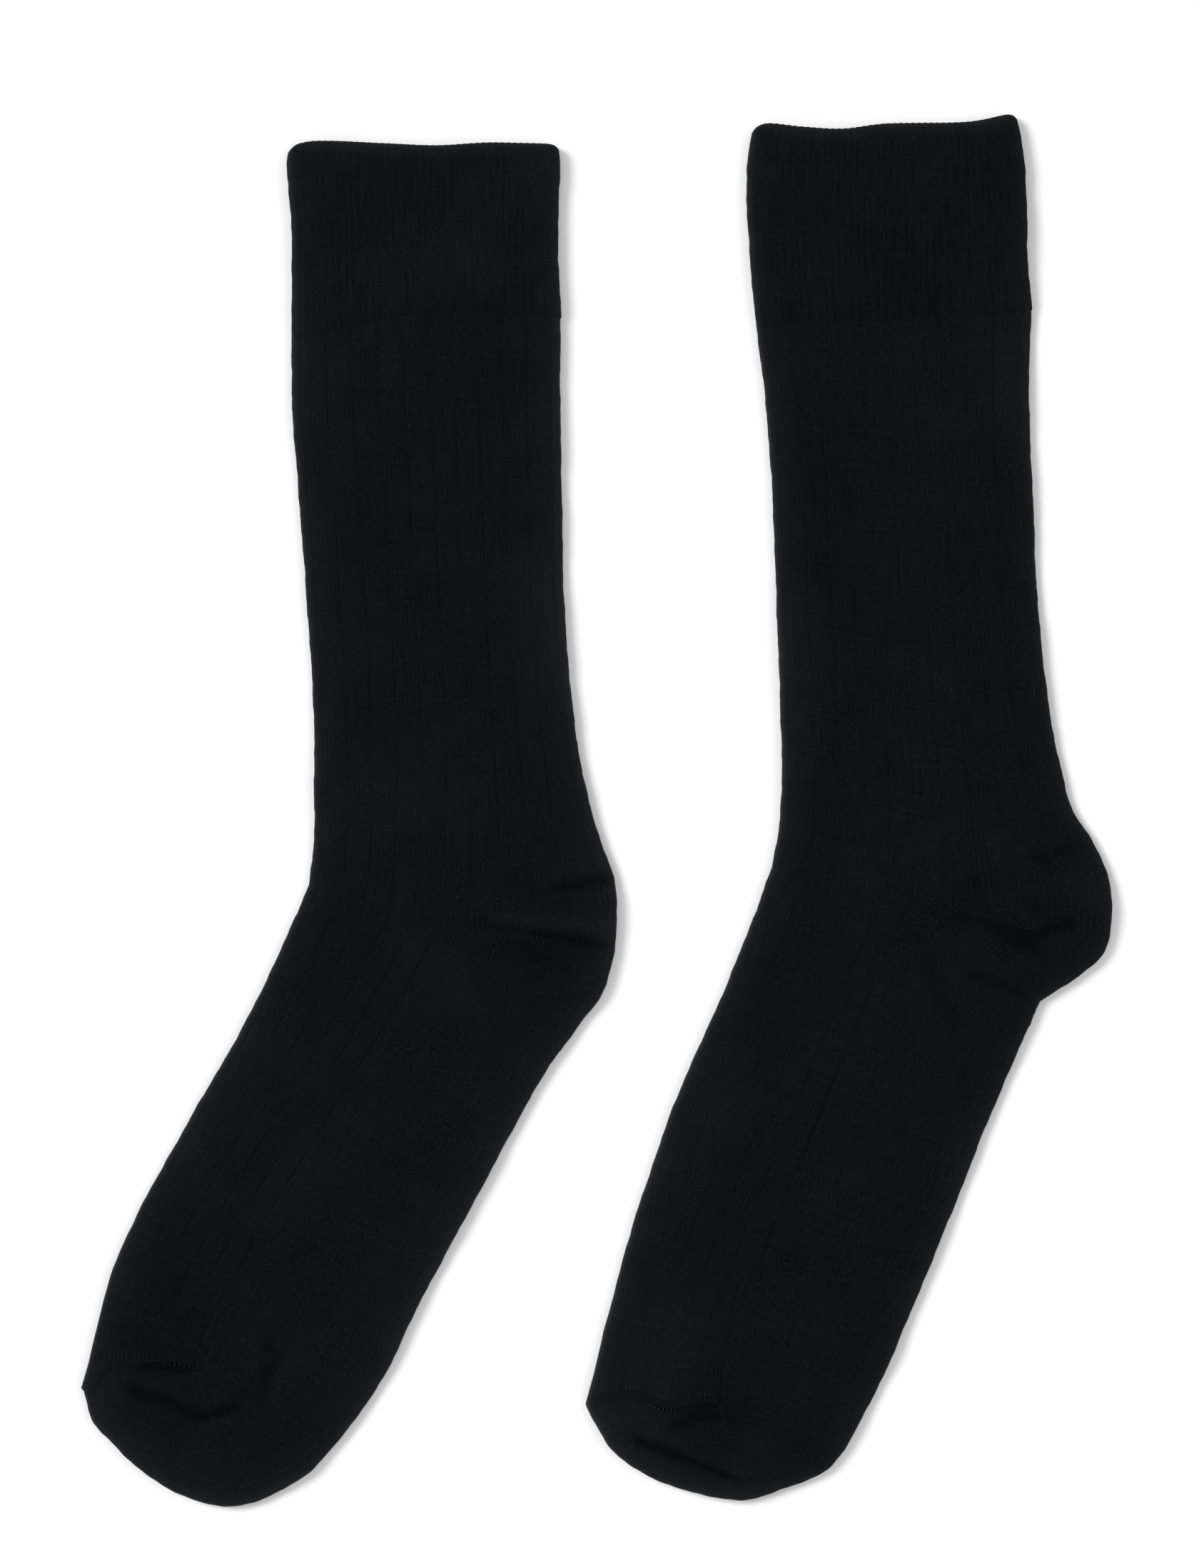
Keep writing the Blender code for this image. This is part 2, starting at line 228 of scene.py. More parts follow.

# %% [markdown]
# Creases, troughs and ridges
#
# Cloth that lies flat is never quite flat. A heel pocket holds more cloth than the flat shape
# has room for, so it puckers, and the toe folds beside its linking. Each crease is listed: how
# wide it is, how far the upper layer rises (or sinks, below zero), and a short path.
# A mound is the same thing with a wide path. The sums of all of them are the height field
# that the loft adds to its upper layer. The hidden layer has its own few, pressed flatter.

# %% Crease tables
CREASES = {
    "left": [
        (6, 0.9, [(-34, -33.5), (-14, -33), (4, -34.5)]),
        (2.2, -1, [(-14, -25.2), (-7.2, -24.7), (-1, -23.5), (7, -22.4)]),
        (2, -1.2, [(-40, -37.4), (-30, -38), (-22.5, -39.4), (-14, -40.8), (-6.1, -42.3), (3, -42.8)]),
        (4.5, -0.6, [(-22, -45), (-12, -50)]),
        (6, 0.8, [(-1, -48), (-8, -60)]),
        (2.6, -0.5, [(-42, -43), (-38, -50), (-34, -57)]),
        (4, -0.6, [(-150, -170), (-142, -174.5)]),
        (4, 0.6, [(-158, -177.5), (-148, -176.5), (-138, -177)]),
        (1.6, -1.2, [(-148, -179.8), (-138.9, -181), (-129, -181.2)]),
        (3.4, 0.7, [(-146, -184.5), (-139, -185.6), (-131, -187.5)]),
        (2.1, -1.7, [(-152, -186), (-146.4, -189.2), (-138.9, -191.2), (-133.1, -194), (-126.8, -195.9),
            (-121.6, -194.8), (-115, -192)]),
        (8, 1, [(-120, -178), (-117, -187)]),
        (7, 0.8, [(-152, -197), (-136, -203), (-118, -203)]),
        (3.2, -1, [(-108, -169.5), (-104.3, -177.3), (-107.2, -184.8), (-109.2, -193)]),
        (2, -0.4, [(-140, -199), (-139, -207)]),
        (12, -0.6, [(-92, 62), (-62, 52), (-22, 56)]),
        (10, 0.6, [(-30, 84), (-18, 60), (-16, 40)]),
        (9, 0.5, [(-84, 12), (-58, 4), (-20, 14)]),
        (6, -0.5, [(-90, -22), (-74, -30), (-60, -38)]),
        (10, 0.6, [(-100, -78), (-74, -96), (-50, -112)]),
        (9, -0.5, [(-128, -118), (-104, -138), (-78, -150)]),
    ],
    "right": [
        (8, 0.9, [(151, -20), (158, -30), (157, -42)]),
        (1.8, 0.5, [(139, -14), (149, -11.4), (159.5, -8.8)]),
        (2, -0.6, [(137, -17.4), (149, -15), (158.5, -12.8)]),
        (3.8, -1.3, [(116, -30.5), (121, -33.6), (130, -37.6), (138, -42.6), (145, -46)]),
        (2.4, -1.4, [(142, -40.6), (149.4, -37.8), (156, -36.4)]),
        (3.6, 0.8, [(128, -49.5), (138, -50.2), (149, -47.6)]),
        (2.4, -1.2, [(119.5, -52.8), (126.5, -55), (133, -57.8), (141.5, -61.8)]),
        (4, -0.7, [(108, -46.5), (109.5, -55), (112.5, -63), (117.5, -72.5)]),
        (4.5, 0.6, [(2, -187), (14, -186.2), (28, -187.6)]),
        (1.7, -0.8, [(10, -190.6), (20.4, -193), (26, -193.6), (37, -193)]),
        (2.8, -1.5, [(24, -200.2), (28.5, -197.4), (34, -195.4), (41, -194)]),
        (3, 0.5, [(43, -187), (45, -192.6)]),
        (4, 0.8, [(18, -200), (31, -204.5), (45, -206)]),
        (2.2, -1.5, [(10.5, -202.4), (15.6, -204.6), (23.3, -208), (30.1, -210.4), (37.8, -213.5),
            (43.5, -216), (51, -216.6)]),
        (8, 0.9, [(62, -200), (56, -210)]),
        (9, 0.8, [(10, -178), (30, -180)]),
        (10, -0.6, [(62, 112), (94, 120), (132, 114)]),
        (9, 0.6, [(66, 44), (98, 36), (138, 42)]),
        (6, -0.5, [(62, -10), (80, -16), (96, -26)]),
        (9, 0.6, [(44, -76), (72, -92), (108, -98)]),
        (8, -0.5, [(24, -128), (52, -142), (92, -150)]),
    ],
}
UNDER_CREASES = {
    "left": [
        (2.4, 0.7, [(-38, -37), (-22, -39), (-6, -41)]),
        (3, 0.5, [(-30, -48), (-18, -56)]),
        (2.2, 0.8, [(-146, -189), (-134, -193), (-120, -191)]),
        (3, 0.4, [(-112, -176), (-108, -190)]),
    ],
    "right": [
        (2.6, 0.8, [(118, -32), (134, -37), (150, -38)]),
        (2.4, 0.5, [(122, -50), (138, -56)]),
        (2.2, 0.8, [(12, -202), (28, -206), (46, -210)]),
        (2.8, 0.4, [(58, -190), (54, -202)]),
    ],
}
print("creases:", {side: len(CREASES[side]) for side in SIDES})

# %% [markdown]
# Painted shade in the hollows, and painted light
#
# Deep in a pucker the colour is darkened: that is painted shade, where little light gets in.
# The pale patches lighten it: that is painted light, where more light falls on the socks.
# Both are drawn in the same way as the creases: a width, how strong the change is, and a
# path. They never move the cloth. They only colour it, and painted shade that adds up to 1
# is as dark as it gets.

# %% Tables of painted shade and painted light
PAINTED_SHADE_PATHS = {
    "left": [
        (2.1, 0.75, [(-15, -25.4), (-7.2, -24.7), (-1, -23.5), (6.6, -22.5)]),
        (1, 0.6, [(-40, -36.8), (-30, -38), (-22.5, -39.2), (-12, -40.8)]),
        (2.1, 1.1, [(-20, -40.3), (-12, -41.4), (-6, -42.2), (-1.5, -42)]),
        (1.3, 0.5, [(-6, -43), (2, -43.6), (6, -43.2)]),
        (5, 0.45, [(-34, -44), (-18, -47), (-6, -51)]),
        (4.5, 0.35, [(-32, -19), (-22, -25), (-11, -29.5)]),
        (1, 0.5, [(-150, -174.2), (-144, -175.4), (-138, -176.2)]),
        (3.2, 0.35, [(-148, -169.5), (-142, -174.5)]),
        (1, 0.5, [(-133.8, -174.8), (-131, -177.4)]),
        (1.5, 1.3, [(-149, -179.2), (-138.9, -180.4), (-127.8, -180.6)]),
        (2.1, 1.3, [(-153.5, -184.8), (-146.4, -189), (-138.9, -191), (-133.1, -193.8), (-124, -196)]),
        (1.6, 1.2, [(-131, -194.8), (-126.8, -195.7), (-121.6, -194.6), (-114.5, -192)]),
        (2.4, 0.65, [(-109, -168.5), (-104.3, -177.3), (-107.2, -184.8), (-109.4, -194)]),
        (1.2, 0.3, [(-166, -187.2), (-161.5, -183.4), (-157.5, -179.8)]),
        (3, 0.25, [(-138.5, -196.5), (-137, -208)]),
    ],
    "right": [
        (1.8, 0.3, [(131, -17), (143, -15.3), (152, -13.6), (159, -13)]),
        (4.2, 0.65, [(115, -31.5), (126.3, -35.6), (133.5, -39.2), (141, -44.6)]),
        (3.4, 0.6, [(134, -41), (141, -44.2), (146.5, -48.6)]),
        (2, 1.2, [(141.5, -40.4), (149.4, -37.8), (156, -36.6)]),
        (2.6, 0.3, [(135, -27), (143, -33), (148, -36)]),
        (1.9, 0.65, [(118.5, -52.6), (126.5, -55), (133, -57.8), (142.5, -62.4)]),
        (3, 0.55, [(108, -45), (109.5, -55), (112.5, -63), (118, -74)]),
        (3, 0.25, [(119, -24.5), (125, -21.5)]),
        (0.9, 0.9, [(11, -188.6), (20.4, -191.9), (25.2, -192.3), (32, -191.4), (41, -191.2)]),
        (2.8, 0.85, [(22.5, -201), (28.5, -197.2), (34, -195.4), (40.5, -193)]),
        (2.2, 1.2, [(31, -195.2), (36.5, -193.8), (41, -193.2)]),
        (1.1, 0.9, [(37.5, -195.4), (41.5, -197), (46.5, -196.6)]),
        (2.1, 1.1, [(10, -202.6), (18, -205.4), (28.5, -209)]),
        (1.3, 0.95, [(20, -206.4), (30.1, -210.2), (37.8, -213.4), (46, -216.4)]),
        (1.6, 0.4, [(40, -215), (46, -216.6), (52.5, -216.2)]),
    ],
}
PAINTED_LIGHT_PATCHES = {
    "left": [
        (14, 0.1, [(-66, 168), (-46, 178)]), (12, 0.07, [(-40, 204), (-26, 204)]),
        (12, 0.06, [(-90, 146), (-84, 138)]), (13, 0.13, [(-15, 70), (-14, 48)]),
        (13, 0.08, [(-64, 2), (-44, 0)]), (3.2, 0.12, [(-32, -35.4), (-14, -36.4), (8, -38)]),
        (12, 0.07, [(-56, -48), (-50, -58)]), (14, 0.07, [(-106, -86), (-124, -114)]),
        (10, 0.08, [(-98, -116), (-102, -128)]), (8, 0.16, [(-162, -180), (-158, -184)]),
        (9, 0.05, [(-134, -214), (-120, -218)]),
    ],
    "right": [
        (13, 0.06, [(120, 162), (128, 146)]), (12, 0.06, [(142, 158), (138, 130)]),
        (11, 0.06, [(64, 60), (62, 20)]), (12, 0.1, [(44, -92), (32, -116)]),
        (14, 0.16, [(24, -164), (18, -184)]), (9, 0.17, [(8, -196), (22, -204)]),
        (9, 0.1, [(50, -206), (46, -214)]), (7, 0.06, [(148, -24), (160, -24)]),
    ],
}
PAINTED_SOCK_LIGHT = {"left": 0.0, "right": -0.035}      # painted shade: the right sock is a little darker all over than the left
print("hollows:", {side: len(PAINTED_SHADE_PATHS[side]) for side in SIDES})

# %% [markdown]
# The height of the cloth at any place
#
# A crease is a soft hump across its path: high on the path, gone a few widths away, and dying
# out towards both ends. A trough must not push the upper layer through the lower one, so the
# depth is limited softly, as cloth comes to rest on cloth. Slow random swells come on top.

# %% Height field
FADE = 0.22                 # share of a crease's length over which each end dies away
END_SHARE = 0.25            # how much of it is left at its very ends
PATH_STEPS = 6              # places on a crease's line for each drawn point
CREASE_REACH = 5            # widths away from the path where nothing of a crease is left
SWELLS = ((62.0, 0.30), (37.0, 0.22), (23.0, 0.13), (14.0, 0.07))      # wave length and rise
SWELL_SEED = 5
SLACK_LEFT = 0.25           # least space between the layers under a crease
SOFTNESS = 0.4              # how gently a trough comes to rest on the layer below it


def crease_height(creases, x, y, faded=True):
    """The sum of all the creases at each place, dying away at their ends if they are faded."""
    total = np.zeros_like(x)
    for width, rise, path in creases:
        line = fine_curve(path, PATH_STEPS * len(path))
        run = run_along(line)
        near = (np.abs(x - line[:, 0].mean()) < np.ptp(line[:, 0]) / 2 + CREASE_REACH * width) & (
            np.abs(y - line[:, 1].mean()) < np.ptp(line[:, 1]) / 2 + CREASE_REACH * width)
        if not near.any():
            continue
        px, py = x[near], y[near]
        best, along = np.full(px.shape, 1e9), np.zeros(px.shape)
        for start, end, done, step in zip(line, line[1:], run, np.diff(run)):
            ahead_x, ahead_y = end - start
            t = ((px - start[0]) * ahead_x + (py - start[1]) * ahead_y) / step ** 2
            t = np.clip(t, 0, 1)
            away = np.hypot(px - start[0] - t * ahead_x, py - start[1] - t * ahead_y)
            closer = away < best
            best[closer] = away[closer]
            along[closer] = (done + t * step)[closer] / run[-1]
        fade = np.clip(np.minimum(along, 1 - along) / FADE, 0, 1) if faded else 1.0
        ends = END_SHARE + (1 - END_SHARE) * fade ** 2 * (3 - 2 * fade)
        total[near] += rise * np.exp(-(best / width) ** 2) * ends
    return total


def soft_waves(x, y, seed):
    """Low, slow swells of cloth that was smoothed out by hand."""
    rng = np.random.default_rng(seed)
    total = np.zeros_like(x)
    for wave_length, rise in SWELLS:
        for _ in range(2):
            angle, phase = rng.uniform(0, math.tau, 2)
            run = x * math.cos(angle) + y * math.sin(angle)
            total += rise * np.sin(run * math.tau / wave_length + phase)
    return total


# %% Heights, painted shade and painted light of a sock


def lay_heights(side, x, y, upper):
    """How far the creases move each point: the upper layer up or down, the lower only up."""
    lift = crease_height(CREASES[side], x, y) + soft_waves(x, y, SWELL_SEED + SIDES.index(side))
    under = crease_height(UNDER_CREASES[side], x, y)
    least = under + 2 * CLOTH + SLACK_LEFT - HEIGHT
    lift = least + SOFTNESS * np.logaddexp(0, (lift - least) / SOFTNESS)
    return lift * upper + under * (1 - upper)


def painted_hollow_shade(side, x, y, upper):
    """How much painted shade a point of the upper layer gets in a pucker, from 0 to 1."""
    return np.clip(crease_height(PAINTED_SHADE_PATHS[side], x, y), 0, 1) * upper


def painted_light_share(side, x, y):
    """Painted light from the pale patches away from the folds, and each sock's painted tone all over."""
    return crease_height(PAINTED_LIGHT_PATCHES[side], x, y, faded=False) + PAINTED_SOCK_LIGHT[side]


deep = crease_height(CREASES["left"], np.array([-121.6]), np.array([-194.8]))
print("the toe fold of the left sock is", round(-float(deep[0]), 2), "mm deep")

# %% [markdown]
# One flattened course
#
# This is the heart of the model. A course leaves the side line on the upper layer, runs out
# flat, turns under round the fold, and comes back along the table. Its share is how much of
# it has been knitted, counted in cloth and not in distance seen from above, so the wales keep
# their width as they go round the fold.

# %% Half a course, for many courses at once
BOW_PEAK = 27 / 4           # t ** 2 * (1 - t) times this peaks at 1, two thirds of the way out
TAPER = 3.0                 # a shift comes in over this distance from the side line
FOLD_FUZZ_AND_SHEEN_REACH = ((2.2, 0.9), (0.46, 5.4))      # share and reach of the pale fuzz and painted sheen beside a fold
FOLD_FUZZ_AND_SHEEN_LIMIT = 1.15
FRONT_FUZZ_AND_SHEEN = {"left": 0.92, "right": 1.0}
BACK_FUZZ_AND_SHEEN = {"left": 0.8, "right": 0.62}    # painted shade: the back folds, on the right away from the raking light, get less fuzz and sheen
FOOT_WEAR, WEAR_STARTS, WEAR_RUN = 0.13, -60.0, 60.0    # and the feet are rubbed more than the legs


def fold_fuzz_and_sheen(distance):
    """How much pale fuzz and painted sheen the cloth has, at a distance from a fold."""
    return np.minimum(sum(share * np.exp(-distance / reach) for share, reach in FOLD_FUZZ_AND_SHEEN_REACH), FOLD_FUZZ_AND_SHEEN_LIMIT)


def half_courses(side, inner, outer, share, height, wall=0.0, bow=0.0, shift=0.0, taper=TAPER):
    """Points (rows, columns, 3), outward directions, painted shade, and fuzz with painted sheen and light, of
    courses from inner to outer.
    """
    inner, outer = np.asarray(inner, float), np.asarray(outer, float)
    rows = (len(inner), 1)
    height, wall, bow, shift = (
        np.broadcast_to(np.asarray(value, float).reshape(-1, 1), rows)
        for value in (height, wall, bow, shift)
    )
    run = outer - inner
    length = np.linalg.norm(run, axis=1)[:, None]
    ahead = run / length
    aside = np.stack([ahead[:, 1], -ahead[:, 0]], axis=1)
    radius = height / 2
    flat = length - radius
    total = 2 * flat + math.pi * radius
    walked = np.atleast_2d(share) * total
    turn = np.clip((walked - flat) / radius, 0, math.pi)
    folded = (turn > 0) & (turn < math.pi)
    distance = np.where(turn <= 0, walked, total - walked)
    distance = np.where(folded, flat + (radius - wall) * np.sin(turn), distance)
    z = radius + (radius - wall) * np.cos(turn)
    t, held = distance / length, np.minimum(distance, flat) / length
    slope = bow * BOW_PEAK * (2 * held - 3 * held ** 2) / length
    sag = bow * BOW_PEAK * t ** 2 * (1 - t)
    right = aside[:, None, :] - ahead[:, None, :] * slope[..., None]
    right = right / np.linalg.norm(right, axis=2, keepdims=True)
    plan = (inner[:, None, :] + ahead[:, None, :] * distance[..., None]
            + aside[:, None, :] * sag[..., None]
            + right * (shift * np.clip(distance / taper, 0, 1))[..., None])
    upper = (np.cos(turn) + 1) / 2
    x, y = plan[..., 0], plan[..., 1]
    z = z + lay_heights(side, x, y, upper)
    outward = np.concatenate([ahead[:, None, :] * np.sin(turn)[..., None], np.cos(turn)[..., None]], axis=2)
    # painted shade in the puckers, on the upper layer only
    hollow = painted_hollow_shade(side, x, y, upper)
    # pale fuzz and painted sheen beside the folds, weaker on the back folds as painted shade, plus the
    # painted light patches
    forward = (1 - ahead[:, :1]) / 2
    strength = BACK_FUZZ_AND_SHEEN[side] + (FRONT_FUZZ_AND_SHEEN[side] - BACK_FUZZ_AND_SHEEN[side]) * forward
    strength = strength * (1 + FOOT_WEAR * np.clip((WEAR_STARTS - y) / WEAR_RUN, 0, 1))
    fuzz = fold_fuzz_and_sheen(np.abs(walked - total / 2)) * strength + painted_light_share(side, x, y)
    return np.concatenate([plan, z[..., None]], axis=2), outward, hollow, fuzz


drawn = SOCKS["left"].leg[3]
laid, *_ = half_courses("left", [drawn.side], [drawn.back], np.linspace(0, 1, 60), HEIGHT)
print("a course of the leg lies", round(float(laid[..., 2].max()), 2), "mm high at most")

# %% [markdown]
# From a grid of stitches to a wall of cloth
#
# Cloth has a thickness, so every piece is a closed shell: a fine outer skin that carries the
# knitting, a coarse inner skin that nobody sees, and rims that join them. One long face spans
# each coarse step of a rim, so the two skins share their edge without extra triangles.
# The UV map counts stitches: u is the wale and v the course, so a stitch drawn once in a
# material lands on every stitch of the sock. Four attributes tell the next step where to
# press: which wale a point is on, how ribbed the cloth is there, which way is out, and
# whether the point is on the outer skin at all. Two more are for the yarn: the painted shade
# of the puckers, and the pale fuzz with its painted sheen and painted light.

# %% Pieces and their attributes
Skin = namedtuple("Skin", "points outward hollow fuzz wale course_above course_below ribbed gore_row")


def new_piece(name, places, faces=()):
    """A mesh object in the scene, from places in metres and faces."""
    mesh = bpy.data.meshes.new(name)
    mesh.from_pydata(places, [], faces)
    mesh.shade_smooth()
    piece = bpy.data.objects.new(name, mesh)
    scene.collection.objects.link(piece)
    return piece


def attach(mesh, title, values, kind="FLOAT"):
    """Stores a number, or a vector, for every point of a mesh."""
    field = "value" if kind == "FLOAT" else "vector"
    data = mesh.attributes.new(title, kind, "POINT").data
    data.foreach_set(field, np.ravel(values).astype(np.float32))


# %% Rims, stitch map and sharp edges


def rim_faces(outer, inner, step):
    """Faces that join a fine edge of the outer skin to a coarse edge of the inner one."""
    return [
        [*outer[number * step:(number + 1) * step + 1], inner[number + 1], inner[number]]
        for number in range(len(inner) - 1)
    ]


def stitch_map(mesh, skin, columns):
    """The UV map: the faces on either side of a gore count their courses from different ends."""
    rows = len(skin.points)
    wale = np.broadcast_to(skin.wale, (rows, skin.wale.shape[-1]))
    bands = np.arange(rows - 1)[:, None] < skin.gore_row
    corners = []
    for down, along in ((0, 0), (1, 0), (1, 1), (0, 1)):
        row, column = slice(down, rows - 1 + down), slice(along, columns - 1 + along)
        course = np.where(bands, skin.course_above[row, column], skin.course_below[row, column])
        corners.append(np.stack([wale[row, column], course], axis=-1))
    skin_uv = np.stack(corners, axis=2).reshape(-1, 2)
    uv = np.zeros((len(mesh.loops), 2), np.float32)
    uv[:len(skin_uv)] = skin_uv
    mesh.uv_layers.new(name="knit").uv.foreach_set("vector", uv.ravel())


def sharpen(mesh, lines):
    """Keeps the shading of the skin and the rim apart along the skin's edges."""
    hard = set()
    for line in lines:
        hard.update(tuple(sorted(pair)) for pair in zip(line[:-1].tolist(), line[1:].tolist()))
    ends = np.zeros(2 * len(mesh.edges), np.int32)
    mesh.edges.foreach_get("vertices", ends)
    sharp = [tuple(sorted(pair)) in hard for pair in ends.reshape(-1, 2).tolist()]
    mesh.attributes.new("sharp_edge", "BOOLEAN", "EDGE").data.foreach_set("value", sharp)


# %% The cloth builder


def cloth_mesh(name, skin, lining, ring, column_step=INNER_EVERY):
    """A closed wall of cloth from an outer skin and the points of its coarse inner skin."""
    rows, columns = skin.points.shape[:2]
    inner_rows, inner_columns = lining.shape[:2]
    spare = inner_rows * inner_columns
    outer = np.arange(rows * columns).reshape(rows, columns)
    inner = rows * columns + np.arange(spare).reshape(inner_rows, inner_columns)
    if ring:
        outer, inner = np.hstack([outer, outer[:, :1]]), np.hstack([inner, inner[:, :1]])
    skin_faces = np.stack([outer[:-1, :-1], outer[1:, :-1], outer[1:, 1:], outer[:-1, 1:]], axis=-1)
    lining_faces = np.stack([inner[:-1, :-1], inner[:-1, 1:], inner[1:, 1:], inner[1:, :-1]], axis=-1)
    faces = skin_faces.reshape(-1, 4).tolist() + lining_faces.reshape(-1, 4).tolist()
    faces += rim_faces(outer[0].tolist(), inner[0].tolist(), column_step)
    faces += rim_faces(outer[-1, ::-1].tolist(), inner[-1, ::-1].tolist(), column_step)
    edges = [outer[0], outer[-1]]
    if not ring:
        faces += rim_faces(outer[::-1, 0].tolist(), inner[::-1, 0].tolist(), INNER_ROWS)
        faces += rim_faces(outer[:, -1].tolist(), inner[:, -1].tolist(), INNER_ROWS)
        edges += [outer[:, 0], outer[:, -1]]
    places = np.vstack([skin.points.reshape(-1, 3), lining.reshape(-1, 3)]) * MM
    piece = new_piece(name, places.tolist(), faces)
    stitch_map(piece.data, skin, outer.shape[1])
    for title, values in (
        ("wale", skin.wale[:, :columns]), ("ribbed", skin.ribbed), ("skin", 1.0),
        ("hollow", skin.hollow), ("fuzz", skin.fuzz),
    ):
        values = np.broadcast_to(values, (rows, columns)).ravel()
        attach(piece.data, title, np.concatenate([values, np.zeros(spare)]))
    outward = np.concatenate([skin.outward.ravel(), np.zeros(3 * spare)])
    attach(piece.data, "outward", outward, "FLOAT_VECTOR")
    sharpen(piece.data, edges)
    return piece


print("a skin has one column in", INNER_EVERY, "and one row in", INNER_ROWS, "on its inside")

# %% [markdown]
# Helpers for node trees
#
# A tree that is built in a script reads best when each line makes one node and says what goes
# into it. These helpers do that for Geometry Nodes and for materials alike: a value that is
# fed to a socket is either a plain value or the output of another node.

# %% Node helpers


def new_tree(name, sockets):
    """A geometry node tree with named inputs, and its input and output nodes."""
    tree = bpy.data.node_groups.new(name, "GeometryNodeTree")
    tree.interface.new_socket("Geometry", in_out="INPUT", socket_type="NodeSocketGeometry")
    for title, kind, value in sockets:
        socket = tree.interface.new_socket(title, in_out="INPUT", socket_type=kind)
        if value is not None:
            socket.default_value = value
    tree.interface.new_socket("Geometry", in_out="OUTPUT", socket_type="NodeSocketGeometry")
    return tree, tree.nodes.new("NodeGroupInput"), tree.nodes.new("NodeGroupOutput")


def feed(tree, socket, value):
    """Puts a value, or a link from another socket, into an input socket."""
    if isinstance(value, bpy.types.NodeSocket):
        tree.links.new(value, socket)
    else:
        socket.default_value = value


def add_node(tree, kind, fed=(), **settings):
    """A node with its settings made and its inputs fed, each by its name or its number."""
    node = tree.nodes.new(kind)
    for title, value in settings.items():
        setattr(node, title, value)
    for title, value in dict(fed).items():
        feed(tree, node.inputs[title], value)
    return node


# %% Maths, ramps and attributes


def maths(tree, operation, *values):
    """A Math node with its inputs filled in, and gives its result."""
    return add_node(tree, "ShaderNodeMath", dict(enumerate(values)), operation=operation).outputs[0]


def ramp(tree, value, low, high, to_low=0.0, to_high=1.0):
    """A smooth step: to_low up to low, to_high from high on."""
    fed = {"Value": value, "From Min": low, "From Max": high, "To Min": to_low, "To Max": to_high}
    return add_node(tree, "ShaderNodeMapRange", fed, interpolation_type="SMOOTHSTEP").outputs["Result"]


def named(tree, title, kind="FLOAT"):
    """Reads an attribute of the piece inside a geometry node tree."""
    fed = {"Name": title}
    return add_node(tree, "GeometryNodeInputNamedAttribute", fed, data_type=kind).outputs["Attribute"]


def from_nearest(tree, value, period):
    """How far a value is from the nearest multiple of the period."""
    half = maths(tree, "MULTIPLY", period, 0.5)
    shifted = maths(tree, "FLOORED_MODULO", maths(tree, "ADD", value, half), period)
    return maths(tree, "ABSOLUTE", maths(tree, "SUBTRACT", shifted, half))


# %% End and run a tree


def end_tree(tree, geometry, given, made):
    """The last nodes of every tree: make the geometry real and give it its material."""
    real = add_node(tree, "GeometryNodeRealizeInstances", {"Geometry": geometry})
    finish = add_node(tree, "GeometryNodeSetMaterial", {
        "Geometry": real.outputs["Geometry"], "Material": given.outputs["Material"],
    })
    tree.links.new(finish.outputs["Geometry"], made.inputs["Geometry"])
    print(tree.name, "has", len(tree.nodes), "nodes")


def run_tree(piece, tree, values):
    """Runs a node tree on a piece and keeps the result as the piece's own plain mesh."""
    modifier = piece.modifiers.new(tree.name, "NODES")
    modifier.node_group = tree
    for item in tree.interface.items_tree:
        if item.in_out == "INPUT" and item.name in values:
            modifier[item.identifier] = values[item.name]
    piece.update_tag()
    bpy.context.view_layer.update()
    finished = bpy.data.meshes.new_from_object(piece.evaluated_get(bpy.context.evaluated_depsgraph_get()))
    piece.modifiers.remove(modifier)
    rough = piece.data
    piece.data = finished
    bpy.data.meshes.remove(rough)
    finished.name = piece.name
    return piece

# %% [markdown]
# The relief of the knitting, with Geometry Nodes
#
# Ribs are the same few lines pressed into the cloth again and again, which is work for a
# node tree: it reads the wale number of each point, finds how far that is from the nearest
# rib line and from the edge of its own wale, and presses the point inwards. Pressing inwards
# only keeps the outline of the smooth loft. Noise makes some lines deeper than others, as
# hand-smoothed cloth shows. The tree also stores how sunk each point is, which the material
# uses to paint shade into the rib lines.

# %% The relief tree
relief, given, made = new_tree("Knit relief", [
    ("Wales per rib", "NodeSocketFloat", 6.0),
    ("Rib width", "NodeSocketFloat", 0.8),
    ("Rib depth", "NodeSocketFloat", 0.0004),
    ("Wale depth", "NodeSocketFloat", 0.0001),
    ("Unevenness", "NodeSocketFloat", 0.5),
    ("Patch size", "NodeSocketFloat", 0.02),
    ("Material", "NodeSocketMaterial", None),
])
asked = given.outputs
wale_number = named(relief, "wale")
wale_edge = from_nearest(relief, wale_number, 1.0)
wale_press = maths(relief, "MULTIPLY", ramp(relief, wale_edge, 0.0, 0.5, 1.0, 0.0), asked["Wale depth"])
rib_edge = from_nearest(relief, wale_number, asked["Wales per rib"])
rib_line = ramp(relief, rib_edge, 0.0, asked["Rib width"], 1.0, 0.0)
rib_share = maths(relief, "MULTIPLY", rib_line, named(relief, "ribbed"))
patches = add_node(relief, "ShaderNodeTexNoise", {
    "W": 3.0, "Detail": 2.0, "Scale": maths(relief, "DIVIDE", 1.0, asked["Patch size"]),
    "Vector": add_node(relief, "GeometryNodeInputPosition").outputs[0],
}, noise_dimensions="4D")
patchy = ramp(relief, patches.outputs[0], 0.3, 0.7, -1.0, 1.0)
uneven = maths(relief, "MULTIPLY", patchy, asked["Unevenness"])
rib_press = maths(relief, "MULTIPLY", maths(relief, "MULTIPLY", rib_share, asked["Rib depth"]),
                  maths(relief, "ADD", 1.0, uneven))
press = maths(relief, "MULTIPLY", maths(relief, "ADD", wale_press, rib_press), named(relief, "skin"))
